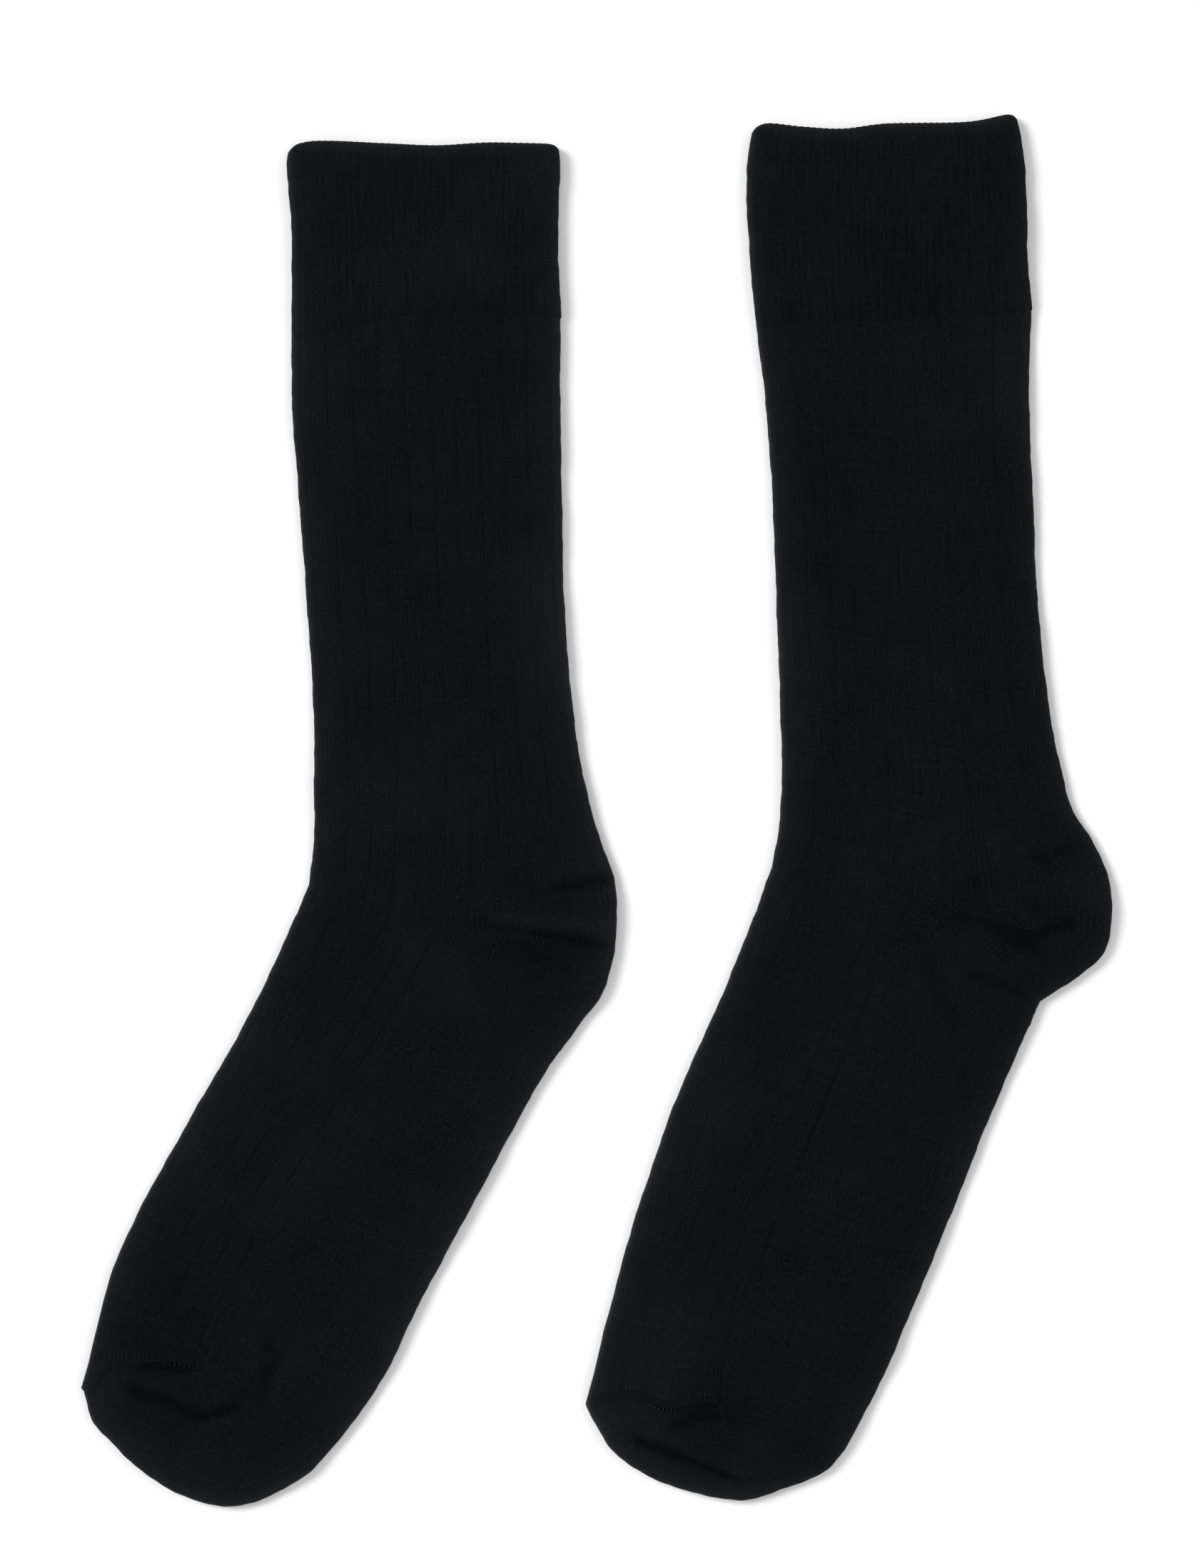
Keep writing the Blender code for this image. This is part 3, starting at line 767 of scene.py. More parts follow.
push = add_node(relief, "ShaderNodeVectorMath", {
    0: named(relief, "outward", "FLOAT_VECTOR"), "Scale": maths(relief, "MULTIPLY", press, -1.0),
}, operation="SCALE")
how_sunk = maths(relief, "MULTIPLY", rib_share, maths(relief, "MULTIPLY_ADD", uneven, 0.5, 0.6))
store = add_node(relief, "GeometryNodeStoreNamedAttribute", {
    "Geometry": asked["Geometry"], "Name": "sunk", "Value": how_sunk,
}, data_type="FLOAT", domain="POINT")
pressed = add_node(relief, "GeometryNodeSetPosition", {
    "Geometry": store.outputs["Geometry"], "Offset": push.outputs[0],
})
end_tree(relief, pressed.outputs["Geometry"], given, made)

# %% [markdown]
# The black yarn
#
# Black cloth is hard to make look like cloth, because nearly no light comes back from it.
# What the eye reads is small: a faint blue-grey from the yarn, darker gaps between the ribs,
# a soft halo of fibre ends and sheen where the surface turns away, and slow patches where the
# loops lean a little differently. So the colour is near black with gentle variations, painted
# shade darkens the gaps between wales, the rib lines and the hollows, the pale fuzz stored on
# the mesh, with its painted sheen and painted light, and a little real sheen make the halo,
# and a bump made from the stitch map gives the loops.

# %% Colours of the yarn
YARN_DARK = (0.0006, 0.0008, 0.0011)
YARN_LIGHT = (0.0052, 0.0066, 0.0079)
# the pale fuzz, which also carries the painted sheen at the folds and the painted light
FUZZ_AND_LIGHT_COLOUR = (0.0155, 0.0177, 0.0198)
SHEEN = {"Weight": 0.03, "Roughness": 0.45, "Tint": (0.62, 0.72, 0.85, 1.0)}
HOLLOW_SHADE = 0.95         # painted shade: how much of the colour is taken away at the bottom of a deep crease
STAND_UP, PULL_IN = 0.8, 0.32               # how much single loops differ from the rest
EVENLY = (1.0, 1.0, 1.0)


# %% Material helpers


def stitch_noise(tree, source, stretch, scale, detail=2.0):
    """Noise on stretched coordinates, so that it runs in streaks."""
    mapping = add_node(tree, "ShaderNodeMapping", {"Scale": stretch, "Vector": source})
    fed = {"Scale": scale, "Detail": detail, "Vector": mapping.outputs["Vector"]}
    return add_node(tree, "ShaderNodeTexNoise", fed).outputs[0]


def stored(tree, title):
    """Reads an attribute of the piece inside a material."""
    return add_node(tree, "ShaderNodeAttribute", attribute_name=title).outputs["Fac"]


def blend(tree, share, first, second):
    """A mix of two colours, each a plain colour or a link."""
    mix = add_node(tree, "ShaderNodeMix", {"Factor": share}, data_type="RGBA")
    for socket in mix.inputs:
        if socket.type == "RGBA":
            value = first if socket.name == "A" else second
            feed(tree, socket, value if isinstance(value, bpy.types.NodeSocket) else (*value, 1.0))
    return next(socket for socket in mix.outputs if socket.type == "RGBA")


# %% The knit material


def knit_material(name, bump_height, evenly, streaks, gap_shade, open_wales):
    """Loops of black yarn drawn on the stitch map. open_wales is how much painted shade the gaps
    between wales get where the cloth is relaxed, and where it is stretched."""
    material = bpy.data.materials.new(name)
    material.use_nodes = True
    tree = material.node_tree
    shader = tree.nodes["Principled BSDF"]
    shader.inputs["Metallic"].default_value = 0.0
    shader.inputs["Specular IOR Level"].default_value = 0.04
    for title, value in SHEEN.items():
        shader.inputs["Sheen " + title].default_value = value
    times = partial(maths, tree, "MULTIPLY")
    times_add = partial(maths, tree, "MULTIPLY_ADD")
    step = partial(ramp, tree)

    # The loop: two legs in each wale that lean towards each other, and meet the next course.
    stitches = add_node(tree, "ShaderNodeUVMap", uv_map="knit").outputs[0]
    wale, course, _ = add_node(tree, "ShaderNodeSeparateXYZ", {0: stitches}).outputs
    across = from_nearest(tree, wale, 1.0)
    leaning = maths(tree, "ADD", course, times(across, 1.1))
    along = maths(tree, "SINE", times(leaning, math.tau))
    leg = maths(tree, "SINE", times(across, math.tau))
    loop = times(leg, times_add(along, 0.3, 0.7))

    # Slow patches, and streaks along wales and courses.
    place = add_node(tree, "ShaderNodeTexCoord").outputs["Object"]
    patch = stitch_noise(tree, place, EVENLY, 32.0)
    wale_streak = stitch_noise(tree, stitches, (1.0, 0.10, 1.0), 0.9)
    course_streak = stitch_noise(tree, stitches, (0.05, 1.0, 1.0), 0.55)
    speck = stitch_noise(tree, stitches, EVENLY, 1.7, 1.0)
    tone = times_add(step(patch, 0.3, 0.7, -0.5, 0.5), 0.20, evenly)
    for streak, share in ((wale_streak, streaks), (course_streak, 0.16), (speck, 0.40)):
        tone = times_add(step(streak, 0.25, 0.75, -0.5, 0.5), share, tone)

    # Single loops that stand up and catch the light, or are pulled in, in clusters.
    cluster = step(stitch_noise(tree, place, EVENLY, 85.0, 1.0), 0.38, 0.62, 0.3, 1.3)
    fleck = stitch_noise(tree, stitches, (1.9, 0.8, 1.0), 1.0, 1.0)
    standing = maths(tree, "SUBTRACT", times(step(fleck, 0.58, 0.72), STAND_UP),
                     times(step(fleck, 0.28, 0.42, 1.0, 0.0), PULL_IN))
    tone = times_add(standing, cluster, tone)
    tone = times(tone, times_add(loop, 0.35, 0.72))

    # Painted shade: in the gaps between stretched wales, in the sunk rib lines, and at the bottom of the
    # creases.
    slack = step(stitch_noise(tree, place, EVENLY, 70.0, 1.0), 0.42, 0.66, *open_wales)
    gap = times(step(across, 0.05, 0.26, 1.0, 0.0), slack)
    tone = times(tone, maths(tree, "SUBTRACT", 1.0, gap))
    sunk = times(stored(tree, "sunk"), step(wale_streak, 0.3, 0.7, 1.5, 0.4))
    tone = times(tone, times_add(sunk, -gap_shade, 1.0))
    hollow = stored(tree, "hollow")
    tone = times(tone, times_add(hollow, -HOLLOW_SHADE, 1.0))

    # The pale fuzz, with its painted sheen and painted light, lies over the yarn where fibres stand up, but
    # not down in a hollow of painted shade.
    fuzz = times(stored(tree, "fuzz"), step(speck, 0.2, 0.8, 0.7, 1.25))
    fuzz = times(fuzz, times_add(hollow, -0.9, 1.0))
    colour = blend(tree, fuzz, blend(tree, tone, YARN_DARK, YARN_LIGHT), FUZZ_AND_LIGHT_COLOUR)
    feed(tree, shader.inputs["Base Color"], colour)
    feed(tree, shader.inputs["Roughness"], step(speck, 0.2, 0.8, 0.82, 0.95))
    fibres = stitch_noise(tree, stitches, EVENLY, 3.1)
    bump = add_node(tree, "ShaderNodeBump", {
        "Strength": 1.0, "Distance": bump_height * MM, "Height": times_add(fibres, 0.5, loop),
    })
    feed(tree, shader.inputs["Normal"], bump.outputs["Normal"])
    return material


# %% The four yarns
yarn = {
    "cuff_rib": knit_material("cuff_rib_yarn", 0.16, 0.43, 0.36, 0.58, (0.0, 0.35)),
    "leg_rib": knit_material("leg_rib_yarn", 0.16, 0.47, 0.24, 0.42, (0.0, 0.6)),
    "foot_knit": knit_material("foot_yarn", 0.16, 0.45, 0.20, 0.52, (0.0, 0.42)),
    "plain_knit": knit_material("pocket_yarn", 0.18, 0.43, 0.18, 0.0, (0.1, 0.8)),
}
print("materials:", ", ".join(sorted(material.name for material in yarn.values())))

# %% [markdown]
# The tubes: cuff, leg and foot
#
# A tube's courses run all the way round: out along the back half, under it, out again under
# the front half and home over it. The rows are spread evenly along the side line, and the
# folds get a faint ripple, because the edge of a knitted tube is never a ruled line. The cuff
# is knitted double and turned at the top, so its first rows roll over the edge, and its lower
# edge rolls in where it is joined to the leg.

# %% Tube helpers
GAP = 0.04                  # between neighbouring pieces, in the model only
SCARF = 0.45                # the hidden side of each joint lies this much further down the sock
EDGE_OUT = 0.25             # the ribs press the folds in, so they start this much further out
QUIET_END = 6               # the ripple of a fold dies away over this distance at both ends
END_REACH = 8               # how quickly a bow or gap fades, away from the end of a piece
RIPPLES = ((5.3, 0.05), (9.7, 0.06), (17.0, 0.06), (31.0, 0.07))   # wave length and size
SEEDS = {"leg": 10, "foot": 20, "cuff": 30, "heel": 40, "toe": 50}  # of the ripples, one more on the right
CHORD_STEPS = 60


def move_out(inner, outer, distance):
    """Outer points moved away from the inner ones."""
    ahead = outer - inner
    return outer + ahead / np.linalg.norm(ahead, axis=1)[:, None] * distance[:, None]


def rippled(inner, outer, run, seed):
    """A fold's points moved out by the edge's own width and a faint ripple."""
    rng = np.random.default_rng(seed)
    ripple = sum(rise * np.sin(run / wave * math.tau + rng.uniform(0, math.tau)) for wave, rise in RIPPLES)
    quiet_ends = np.clip(np.minimum(run, run[-1] - run) / QUIET_END, 0, 1)
    return move_out(inner, outer, EDGE_OUT + quiet_ends * ripple)


def tube_courses(table, spacing, seed):
    """Evenly spaced courses along a tube, and how far down the tube each one lies."""
    side_line = [row.side for row in table]
    rows = INNER_ROWS * max(2, round(length_of(side_line) / spacing / INNER_ROWS)) + 1
    places, length = even_places(side_line, rows)
    front, side, back = (
        smooth_curve([getattr(row, field) for row in table], places) for field in Course._fields
    )
    run = np.linspace(0, length, rows)
    return Course(rippled(side, front, run, seed), side, rippled(side, back, run, seed + 1)), run


def once_round(side, rows, shares, height, wall, front_bow=0.0, back_bow=0.0, front_shift=0.0,
               back_shift=0.0, taper=TAPER):
    """Whole courses: the back half out and under, then the front half home again."""
    back = half_courses(side, rows.side, rows.back, shares, height, wall, back_bow, back_shift, taper)
    front = half_courses(side, rows.side, rows.front, 1 - shares, height, wall, front_bow, front_shift, taper)
    return tuple(np.concatenate(pair, axis=1) for pair in zip(back, front))


def off_line(x, drawn, ends):
    """How far a drawn line lies above another one, at each x."""
    return np.interp(x, drawn[:, 0], drawn[:, 1]) - np.interp(x, ends[:, 0], ends[:, 1])


def bend_to_line(points, table_row, line, weight):
    """Moves courses along the sock so that one of them follows a drawn line, by that row's weight."""
    points[..., 1] += off_line(points[..., 0], fine_curve(line), np.array(table_row)) * weight[:, None]


def bend_to_seam(points, side, weight):
    """Moves courses along the foot so that the last one follows the drawn line of the linking."""
    sock, toe_line = SOCKS[side], SOCKS[side].foot[-1]
    share = np.linspace(0, 0.5, CHORD_STEPS)
    chord, *_ = half_courses(side, [toe_line.side], [toe_line.front], share, HEIGHT, 0.0, sock.seam_bow)
    off = off_line(points[..., 0], fine_curve(sock.seam_line), chord[0][::-1])
    points[..., 1] += np.where(points[..., 0] < toe_line.side[0], off, 0) * weight[:, None]


# %% [markdown]
# Knit the legs and the feet
#
# Both are plain tubes. The leg is ribbed all round. On the foot only the instep is, and its
# ribs are clearest at the side line, where the instep meets the sole. The first course of the
# leg follows the drawn line of the welt, and the last course of the foot that of the linking.

# %% Legs and feet
LEG_RIBS = {"left": 0.70, "right": 0.52}    # how clear the ribs of the leg are
INSTEP_RIBS = {             # and of the instep: on the side line, beside it, and at the front
    "left": (0.95, 0.90, 0.68),
    "right": (1.0, 0.68, 0.50),
}
SIDE_LINE_WALES, INSTEP_WALES = 2, 20       # how far the first two of these reach
TOE_CALM = {"left": 0.5, "right": 0.0}      # how much of them is gone again just before the toe
WELT_FADE = 40.0            # the drawn line of the welt is followed by courses up to this far away


def rib_strength(side, wale, near_end):
    """How ribbed the foot is: nothing on the sole, and most on the side line."""
    half = WALES_ROUND // 2
    from_side = np.minimum(np.minimum(wale, np.abs(wale - half)), WALES_ROUND - wale)
    line, near, far = INSTEP_RIBS[side]
    ribbed = np.where(wale > half, near + (far - near) * np.clip(from_side / INSTEP_WALES, 0, 1), 0)
    return np.where(from_side < SIDE_LINE_WALES, line, ribbed) * (1 - TOE_CALM[side] * near_end[:, None])


def knit_tube(name, side, table, seed, front_end=GAP / 2, end_bow=0.0, back_bow=0.0, welt_line=None):
    """A plain tube of cloth, with its ends cut where the next pieces begin."""
    rows, run = tube_courses(table, 2 * COURSE, seed)
    near_end = (run / run[-1]) ** END_REACH
    near_start = (1 - run / run[-1]) ** END_REACH
    half = WALES_ROUND // 2 * COLUMNS_PER_WALE
    lay = dict(
        front_bow=end_bow * near_end,
        back_bow=back_bow * near_end,
        front_shift=front_end * near_end - GAP / 2 * near_start,
        back_shift=GAP / 2 * (near_start - near_end),
    )
    points, outward, hollow, fuzz = once_round(side, rows, np.arange(half) / half, HEIGHT, 0.0, **lay)
    lay["front_shift"] = lay["front_shift"] - SCARF * (near_end + near_start)
    lay["back_shift"] = lay["back_shift"] + SCARF * (near_end + near_start)
    thin = {key: value[::INNER_ROWS] for key, value in lay.items()}
    inner_rows = Course(*(column[::INNER_ROWS] for column in rows))
    lining, *_ = once_round(side, inner_rows, np.arange(0, half, INNER_EVERY) / half, HEIGHT, CLOTH, **thin)
    wale = np.arange(2 * half + 1) / COLUMNS_PER_WALE
    if welt_line:
        fade = np.clip(1 - run / WELT_FADE, 0, 1)
        bend_to_line(points, table[0], welt_line, fade)
        bend_to_line(lining, table[0], welt_line, fade[::INNER_ROWS])
        ribbed = np.full((1, 2 * half), LEG_RIBS[side])
    else:
        bend_to_seam(points, side, near_end)
        bend_to_seam(lining, side, near_end[::INNER_ROWS])
        ribbed = rib_strength(side, wale[:-1], near_end)
    course = np.repeat(run[:, None] / COURSE, 2 * half + 1, axis=1)
    skin = Skin(points, outward, hollow, fuzz, wale[None, :], course, course, ribbed, len(run))
    return cloth_mesh(name, skin, lining, ring=True)


# %% Knit them
legs, feet = {}, {}
for number, (side, sock) in enumerate(SOCKS.items()):
    legs[side] = knit_tube(f"leg_{side}_knit", side, sock.leg, SEEDS["leg"] + number,
                           back_bow=sock.leg_bow, welt_line=sock.welt_line)
    feet[side] = knit_tube(f"foot_{side}_knit", side, sock.foot, SEEDS["foot"] + number,
                            SEAM_WIDTH / 2, end_bow=sock.seam_bow)
    print(side, "leg", len(legs[side].data.polygons), "faces, foot", len(feet[side].data.polygons))

# %% [markdown]
# The cuff
#
# The cuff is knitted double and turned at the top, so its wall is thicker and its edge is
# round. The rows of its outer skin start inside the mouth, roll over the top edge, run down
# the outside, and roll in again at the bottom, where the leg begins. Above that line the
# double cloth thins out, so that it meets the single cloth of the leg.

# %% Cuffs
CUFF_SPACING = 1.05
CORNER = 3.0                # the cuff's top corners are rounded off
TURN_STEPS = 5
LOWER_INSET = 0.75          # the lower edge is rolled in less than the top one
ROLL_DOWN, LIP = 0.6, 0.4   # how far down the lower roll and the lip inside the mouth reach
TOP_FUZZ_AND_SHEEN, TOP_FUZZ_AND_SHEEN_FROM = 0.45, 0.8         # the turned top edge gets less of the fuzz and painted sheen than the folds
WELT_STEP, WELT_SLOPE = 0.95, 7.0           # the cuff thins by this much, over this length
LINE_FADE = 25              # the lines of the top edge and the welt are followed this far
NO_TAPER = 0.01             # a shift is whole from the side line on


def knit_cuff(name, side, table, seed):
    """The double cuff: over the top edge, down the outside, and in at its lower edge."""
    courses_down, run = tube_courses(table, CUFF_SPACING, seed)
    half_wall = WELT_CLOTH / 2
    over = np.linspace(math.pi, 0, TURN_STEPS + 1)[:-1]
    under = np.linspace(0, math.pi / 2, INNER_ROWS + 1)[1:]
    plain = np.arange(len(run))
    index = np.concatenate([0 * over, plain, 0 * under + plain[-1]]).astype(int)
    turn = np.concatenate([over, 0 * plain, under])
    lift = np.concatenate([half_wall * np.sin(over), 0 * plain, -ROLL_DOWN * np.sin(under)])
    spare = np.arange((len(index) - 1) % INNER_ROWS)        # the inner skin needs every third row
    index, turn, lift = (np.delete(column, TURN_STEPS + 2 + spare) for column in (index, turn, lift))
    down = run[index]
    upper_half = down < run[-1] / 2
    inset = half_wall * (1 - np.cos(turn)) * np.where(upper_half, 1.0, LOWER_INSET)
    to_corner = 1 - np.clip((down + half_wall - lift) / CORNER, 0, 1)
    corner = CORNER * (1 - np.sqrt(np.clip(1 - to_corner ** 2, 0, 1)))
    front, middle, back = (column[index] for column in courses_down)
    rows = Course(move_out(middle, front, -corner), middle, move_out(middle, back, -corner))
    lift = lift - half_wall * (down < 2 * CORNER) * (1 - down / (2 * CORNER))
    half = CUFF_WALES_ROUND // 2 * CUFF_COLUMNS_PER_WALE
    height = WELT_HEIGHT - WELT_STEP * np.clip(1 - (run[-1] - down) / WELT_SLOPE, 0, 1) ** 2
    points, outward, hollow, fuzz = once_round(
        side, rows, np.arange(half) / half, height, inset,
        front_shift=lift, back_shift=-lift, taper=NO_TAPER)
    # fuzz and painted sheen along the turned top edge
    fuzz = np.maximum(fuzz, TOP_FUZZ_AND_SHEEN * fold_fuzz_and_sheen(down + TOP_FUZZ_AND_SHEEN_FROM)[:, None])
    outward = outward * np.cos(turn)[:, None, None]
    outward[..., 1] += (np.where(upper_half, 1.0, -1.0) * np.sin(turn))[:, None]
    pick = slice(None, None, INNER_ROWS)
    inner_lift = np.minimum(lift[pick], -LIP * (down[pick] < CORNER))
    lining, *_ = once_round(
        side, Course(*(column[pick] for column in rows)), np.arange(0, half, CUFF_INNER_EVERY) / half,
        height[pick], WELT_CLOTH, front_shift=inner_lift, back_shift=-inner_lift, taper=NO_TAPER)
    for cloth, rows_down in ((points, down), (lining, down[pick])):
        bend_to_line(cloth, table[0], SOCKS[side].top_line, np.clip(1 - rows_down / LINE_FADE, 0, 1))
        from_welt = run[-1] - rows_down
        bend_to_line(cloth, table[-1], SOCKS[side].welt_line, np.clip(1 - from_welt / LINE_FADE, 0, 1))
    wale = np.arange(2 * half + 1) / CUFF_COLUMNS_PER_WALE
    course = np.repeat((down - lift)[:, None] / COURSE, 2 * half + 1, axis=1)
    skin = Skin(points, outward, hollow, fuzz, wale[None, :], course, course, 1.0, len(down))
    return cloth_mesh(name, skin, lining, ring=True, column_step=CUFF_INNER_EVERY)


cuffs = {}
for number, (side, sock) in enumerate(SOCKS.items()):
    cuffs[side] = knit_cuff(f"cuff_{side}_knit", side, sock.cuff, SEEDS["cuff"] + number)
    print(side, "cuff", len(cuffs[side].data.polygons), "faces")

# %% [markdown]
# Heel and toe pockets
#
# A heel is turned with short rows: the needles knit fewer and fewer stitches and then more
# and more, which makes a pocket. Laid flat it is a fan about the end of the side line. Every
# wale runs straight to the gore, the line where the fan was narrowest, turns there, and runs
# straight on. Only near the rim does it round off, so the columns of the grid are bent in
# from a two-sided fan to the round outline as they go out.

# %% Pocket helper
Pocket = namedtuple("Pocket", "apex gore_end rim_length")
POCKET_SPACING = 1.1
APEX = 0.04                 # the fan starts this far out from its own point
TOE_GORE = 0.34             # how far round the toe the gore lies


def knit_pocket(name, side, apex, rim, gore_at, seed, first_bow=0.0, last_bow=0.0, last_gap=GAP / 2):
    """The half courses of a heel or toe, fanned out from the side line to the rim."""
    count = INNER_ROWS * round(length_of(rim) / POCKET_SPACING / INNER_ROWS) + 1
    gore_row = round(gore_at * (count - 1))
    gore_at = gore_row / (count - 1)
    places, length = even_places(rim, count)
    turned = np.linspace(0, 1, count)
    outer = smooth_curve(rim, places)
    apex = np.broadcast_to(np.asarray(apex, float), outer.shape)
    outer = rippled(apex, outer, turned * length, seed)
    ahead = outer - apex
    reach = np.linalg.norm(ahead, axis=1)
    ahead = ahead / reach[:, None]

    # How far out the straight side of the two-sided fan lies on each ray.
    start, gore, end = (outer[row] - apex[0] for row in (0, gore_row, -1))
    first_part = turned[:, None] <= gore_at
    chord = np.where(first_part, gore - start, end - gore)
    base = np.where(first_part, start, gore)
    cross = ahead[:, 0] * chord[:, 1] - ahead[:, 1] * chord[:, 0]
    straight = ((base[:, 0] * chord[:, 1] - base[:, 1] * chord[:, 0]) / cross / reach)[:, None]

    def bent(share):
        near = np.minimum(share, 1 - share)[None, :] * 2
        pulled = near * (straight + (1 - straight) * near ** 3) / 2
        return np.where(share[None, :] <= 0.5, pulled, 1 - pulled)

    near_start, near_end = (1 - turned) ** END_REACH, turned ** END_REACH
    bow = first_bow * near_start + last_bow * near_end
    shift = GAP / 2 * (1 - turned) - last_gap * turned
    half = WALES_ROUND // 2 * COLUMNS_PER_WALE
    share = np.arange(half + 1) / half
    start_at = apex + ahead * APEX
    points, outward, hollow, fuzz = half_courses(side, start_at, outer, bent(share), HEIGHT, 0.0, bow, shift)
    pick = slice(None, None, INNER_ROWS)
    shift = shift + SCARF * (near_end + near_start)
    lining, *_ = half_courses(side, start_at[pick], outer[pick], bent(share[::INNER_EVERY])[pick],
                              HEIGHT, CLOTH, bow[pick], shift[pick])
    if last_bow:
        bend_to_seam(points, side, near_end)
        bend_to_seam(lining, side, near_end[pick])
    wale = np.arange(half + 1) / COLUMNS_PER_WALE
    near = 2 * np.minimum(share, 1 - share)[None, :]
    above, below = (near * part[:, None] * (length / COURSE) for part in (turned, turned - 1))
    skin = Skin(points, outward, hollow, fuzz, wale[None, :], above, below, 0.0, gore_row)
    return cloth_mesh(name, skin, lining, ring=False), Pocket(apex[0], outer[gore_row], length)


# %% Turn the heels and the toes
heels, toes, pockets = {}, {}, {}
for number, (side, sock) in enumerate(SOCKS.items()):
    heels[side], pockets["heel", side] = knit_pocket(
        f"heel_{side}_knit", side, sock.foot[0].side, sock.heel_rim, sock.gore_at,
        SEEDS["heel"] + number, first_bow=sock.leg_bow)
    toes[side], pockets["toe", side] = knit_pocket(
        f"toe_{side}_knit", side, sock.foot[-1].side, sock.toe_rim, TOE_GORE,
        SEEDS["toe"] + number, last_bow=sock.seam_bow, last_gap=SEAM_WIDTH / 2)
    print(side, "heel", len(heels[side].data.polygons), "faces, toe", len(toes[side].data.polygons))

# %% [markdown]
# The linking of the toe
#
# The last courses of the toe pocket and of the instep are joined loop by loop, which leaves
# a low cord across the toes. Its core is a thin tube along the join, all the way round the
# fold, and a little wider than the join, so that it lies over the edges of both pieces.

# %% The linking core
SEAM_RISE, SEAM_SUNK = 0.32, 0.15           # half the cord's height, and how deep it is pressed in
SEAM_LAP = 0.35             # the cord lies over the edges on both sides of it
CORE_SIDES = 10
CORE_COLUMNS = 150
CORE_ENDS = (0.001, 0.999)  # the cord nearly closes on itself at the side line
LEG_MIDDLE = (0.25, 0.15)   # a bare yarn takes its colour from one place on the stitch map
CORD_FUZZ, LOOP_FUZZ, MARK_FUZZ = 0.06, 0.30, 0.42     # how much paler than the cloth beside them


def linking_course(side, share, height_off, across):
    """Points along the join, raised off the cloth and moved across the join."""
    toe_line = SOCKS[side].foot[-1]
    inner, outer = ([place] * len(across) for place in (toe_line.side, toe_line.front))
    wall = -np.asarray(height_off, float)
    laid = half_courses(side, inner, outer, share, HEIGHT, wall, SOCKS[side].seam_bow, across)
    bend_to_seam(laid[0], side, np.ones(len(across)))
    laid[0][..., 2] = np.maximum(laid[0][..., 2], 0.0)
    return laid


def map_yarn(mesh):
    """Gives a bare yarn a stitch map that is the same place everywhere."""
    mesh.uv_layers.new(name="knit").uv.foreach_set("vector", LEG_MIDDLE * len(mesh.loops))


def linking_core(name, side):
    """The cord itself, as a closed tube that is pressed flat on the table under the sock."""
    angles = np.arange(CORE_SIDES) / CORE_SIDES * math.tau
    share = np.linspace(*CORE_ENDS, CORE_COLUMNS)
    points, _, _, fuzz = linking_course(
        side, share, SEAM_RISE * np.sin(angles) - SEAM_SUNK, (SEAM_WIDTH / 2 + SEAM_LAP) * np.cos(angles))
    index = np.arange(CORE_SIDES * CORE_COLUMNS).reshape(CORE_SIDES, CORE_COLUMNS)
    turned = np.roll(index, -1, axis=0)
    faces = np.stack([index[:, :-1], index[:, 1:], turned[:, 1:], turned[:, :-1]], axis=-1)
    faces = faces.reshape(-1, 4).tolist() + [index[:, 0].tolist(), index[::-1, -1].tolist()]
    core = new_piece(name, (points.reshape(-1, 3) * MM).tolist(), faces)
    map_yarn(core.data)
    attach(core.data, "fuzz", fuzz + CORD_FUZZ)
    return core


cores = {side: linking_core(f"toe_seam_{side}_cord", side) for side in SIDES}
print("linking cores:", {side: len(core.data.polygons) for side, core in cores.items()}, "faces")

# %% [markdown]
# One loop, and a row of places for it
#
# A chain is one shape at many places. The shape is a small arch of yarn with a few dozen
# faces. The places are bare points along the join, and each point stores which way is along
# the row and which way is off the cloth, so that the node tree can turn its loop.

# %% Loop and row
LOOP_SIDES, LOOP_STEPS = 5, 7
LOOP_ARCH = 0.45            # how high the arch is, for its width
LOOP_TAPER = 0.55           # how much thinner the yarn is at the ends of the arch


def yarn_loop(name, length, width, thick):
    """One small arch of yarn, along X and over Z, with a few dozen faces."""
    verts, faces = [], []
    for step in range(LOOP_STEPS):
        t = step / (LOOP_STEPS - 1) * 2 - 1
        centre = Vector((t * length / 2, 0.0, (1 - t * t) * width * LOOP_ARCH))
        radius = thick / 2 * (1 - LOOP_TAPER * abs(t) ** 3)
        for number in range(LOOP_SIDES):
            angle = number / LOOP_SIDES * math.tau
            verts.append(centre + Vector((0.0, math.cos(angle), math.sin(angle))) * radius)
    for step in range(LOOP_STEPS - 1):
        for number in range(LOOP_SIDES):
            after = (number + 1) % LOOP_SIDES
            here, there = step * LOOP_SIDES, (step + 1) * LOOP_SIDES
            faces.append((here + number, here + after, there + after, there + number))
    faces.append(tuple(range(LOOP_SIDES))[::-1])
    faces.append(tuple((LOOP_STEPS - 1) * LOOP_SIDES + number for number in range(LOOP_SIDES)))
    loop = new_piece(name, [tuple(v * MM) for v in verts], faces)
    map_yarn(loop.data)
    return loop


def stitch_points(name, laid, extra_fuzz):
    """A row of bare points along a laid course, which know which way is along and which is out."""
    points, outward, fuzz = laid[0][0], laid[1][0], laid[3][0]
    row = new_piece(name, (points * MM).tolist())
    attach(row.data, "outward", outward, "FLOAT_VECTOR")
    attach(row.data, "along", np.gradient(points, axis=0), "FLOAT_VECTOR")
    attach(row.data, "fuzz", fuzz + extra_fuzz)
    return row


def join(base, others):
    """Joins other meshes into the base object and keeps the base's name."""
    pieces = [base, *others]
    with bpy.context.temp_override(active_object=base, selected_editable_objects=pieces,
                                   object=base, selected_objects=pieces):
        bpy.ops.object.join()
    base.data.name = base.name


loop = yarn_loop("loop_shape", 1.6, 0.30, 0.34)
print("a loop has", len(loop.data.polygons), "faces")

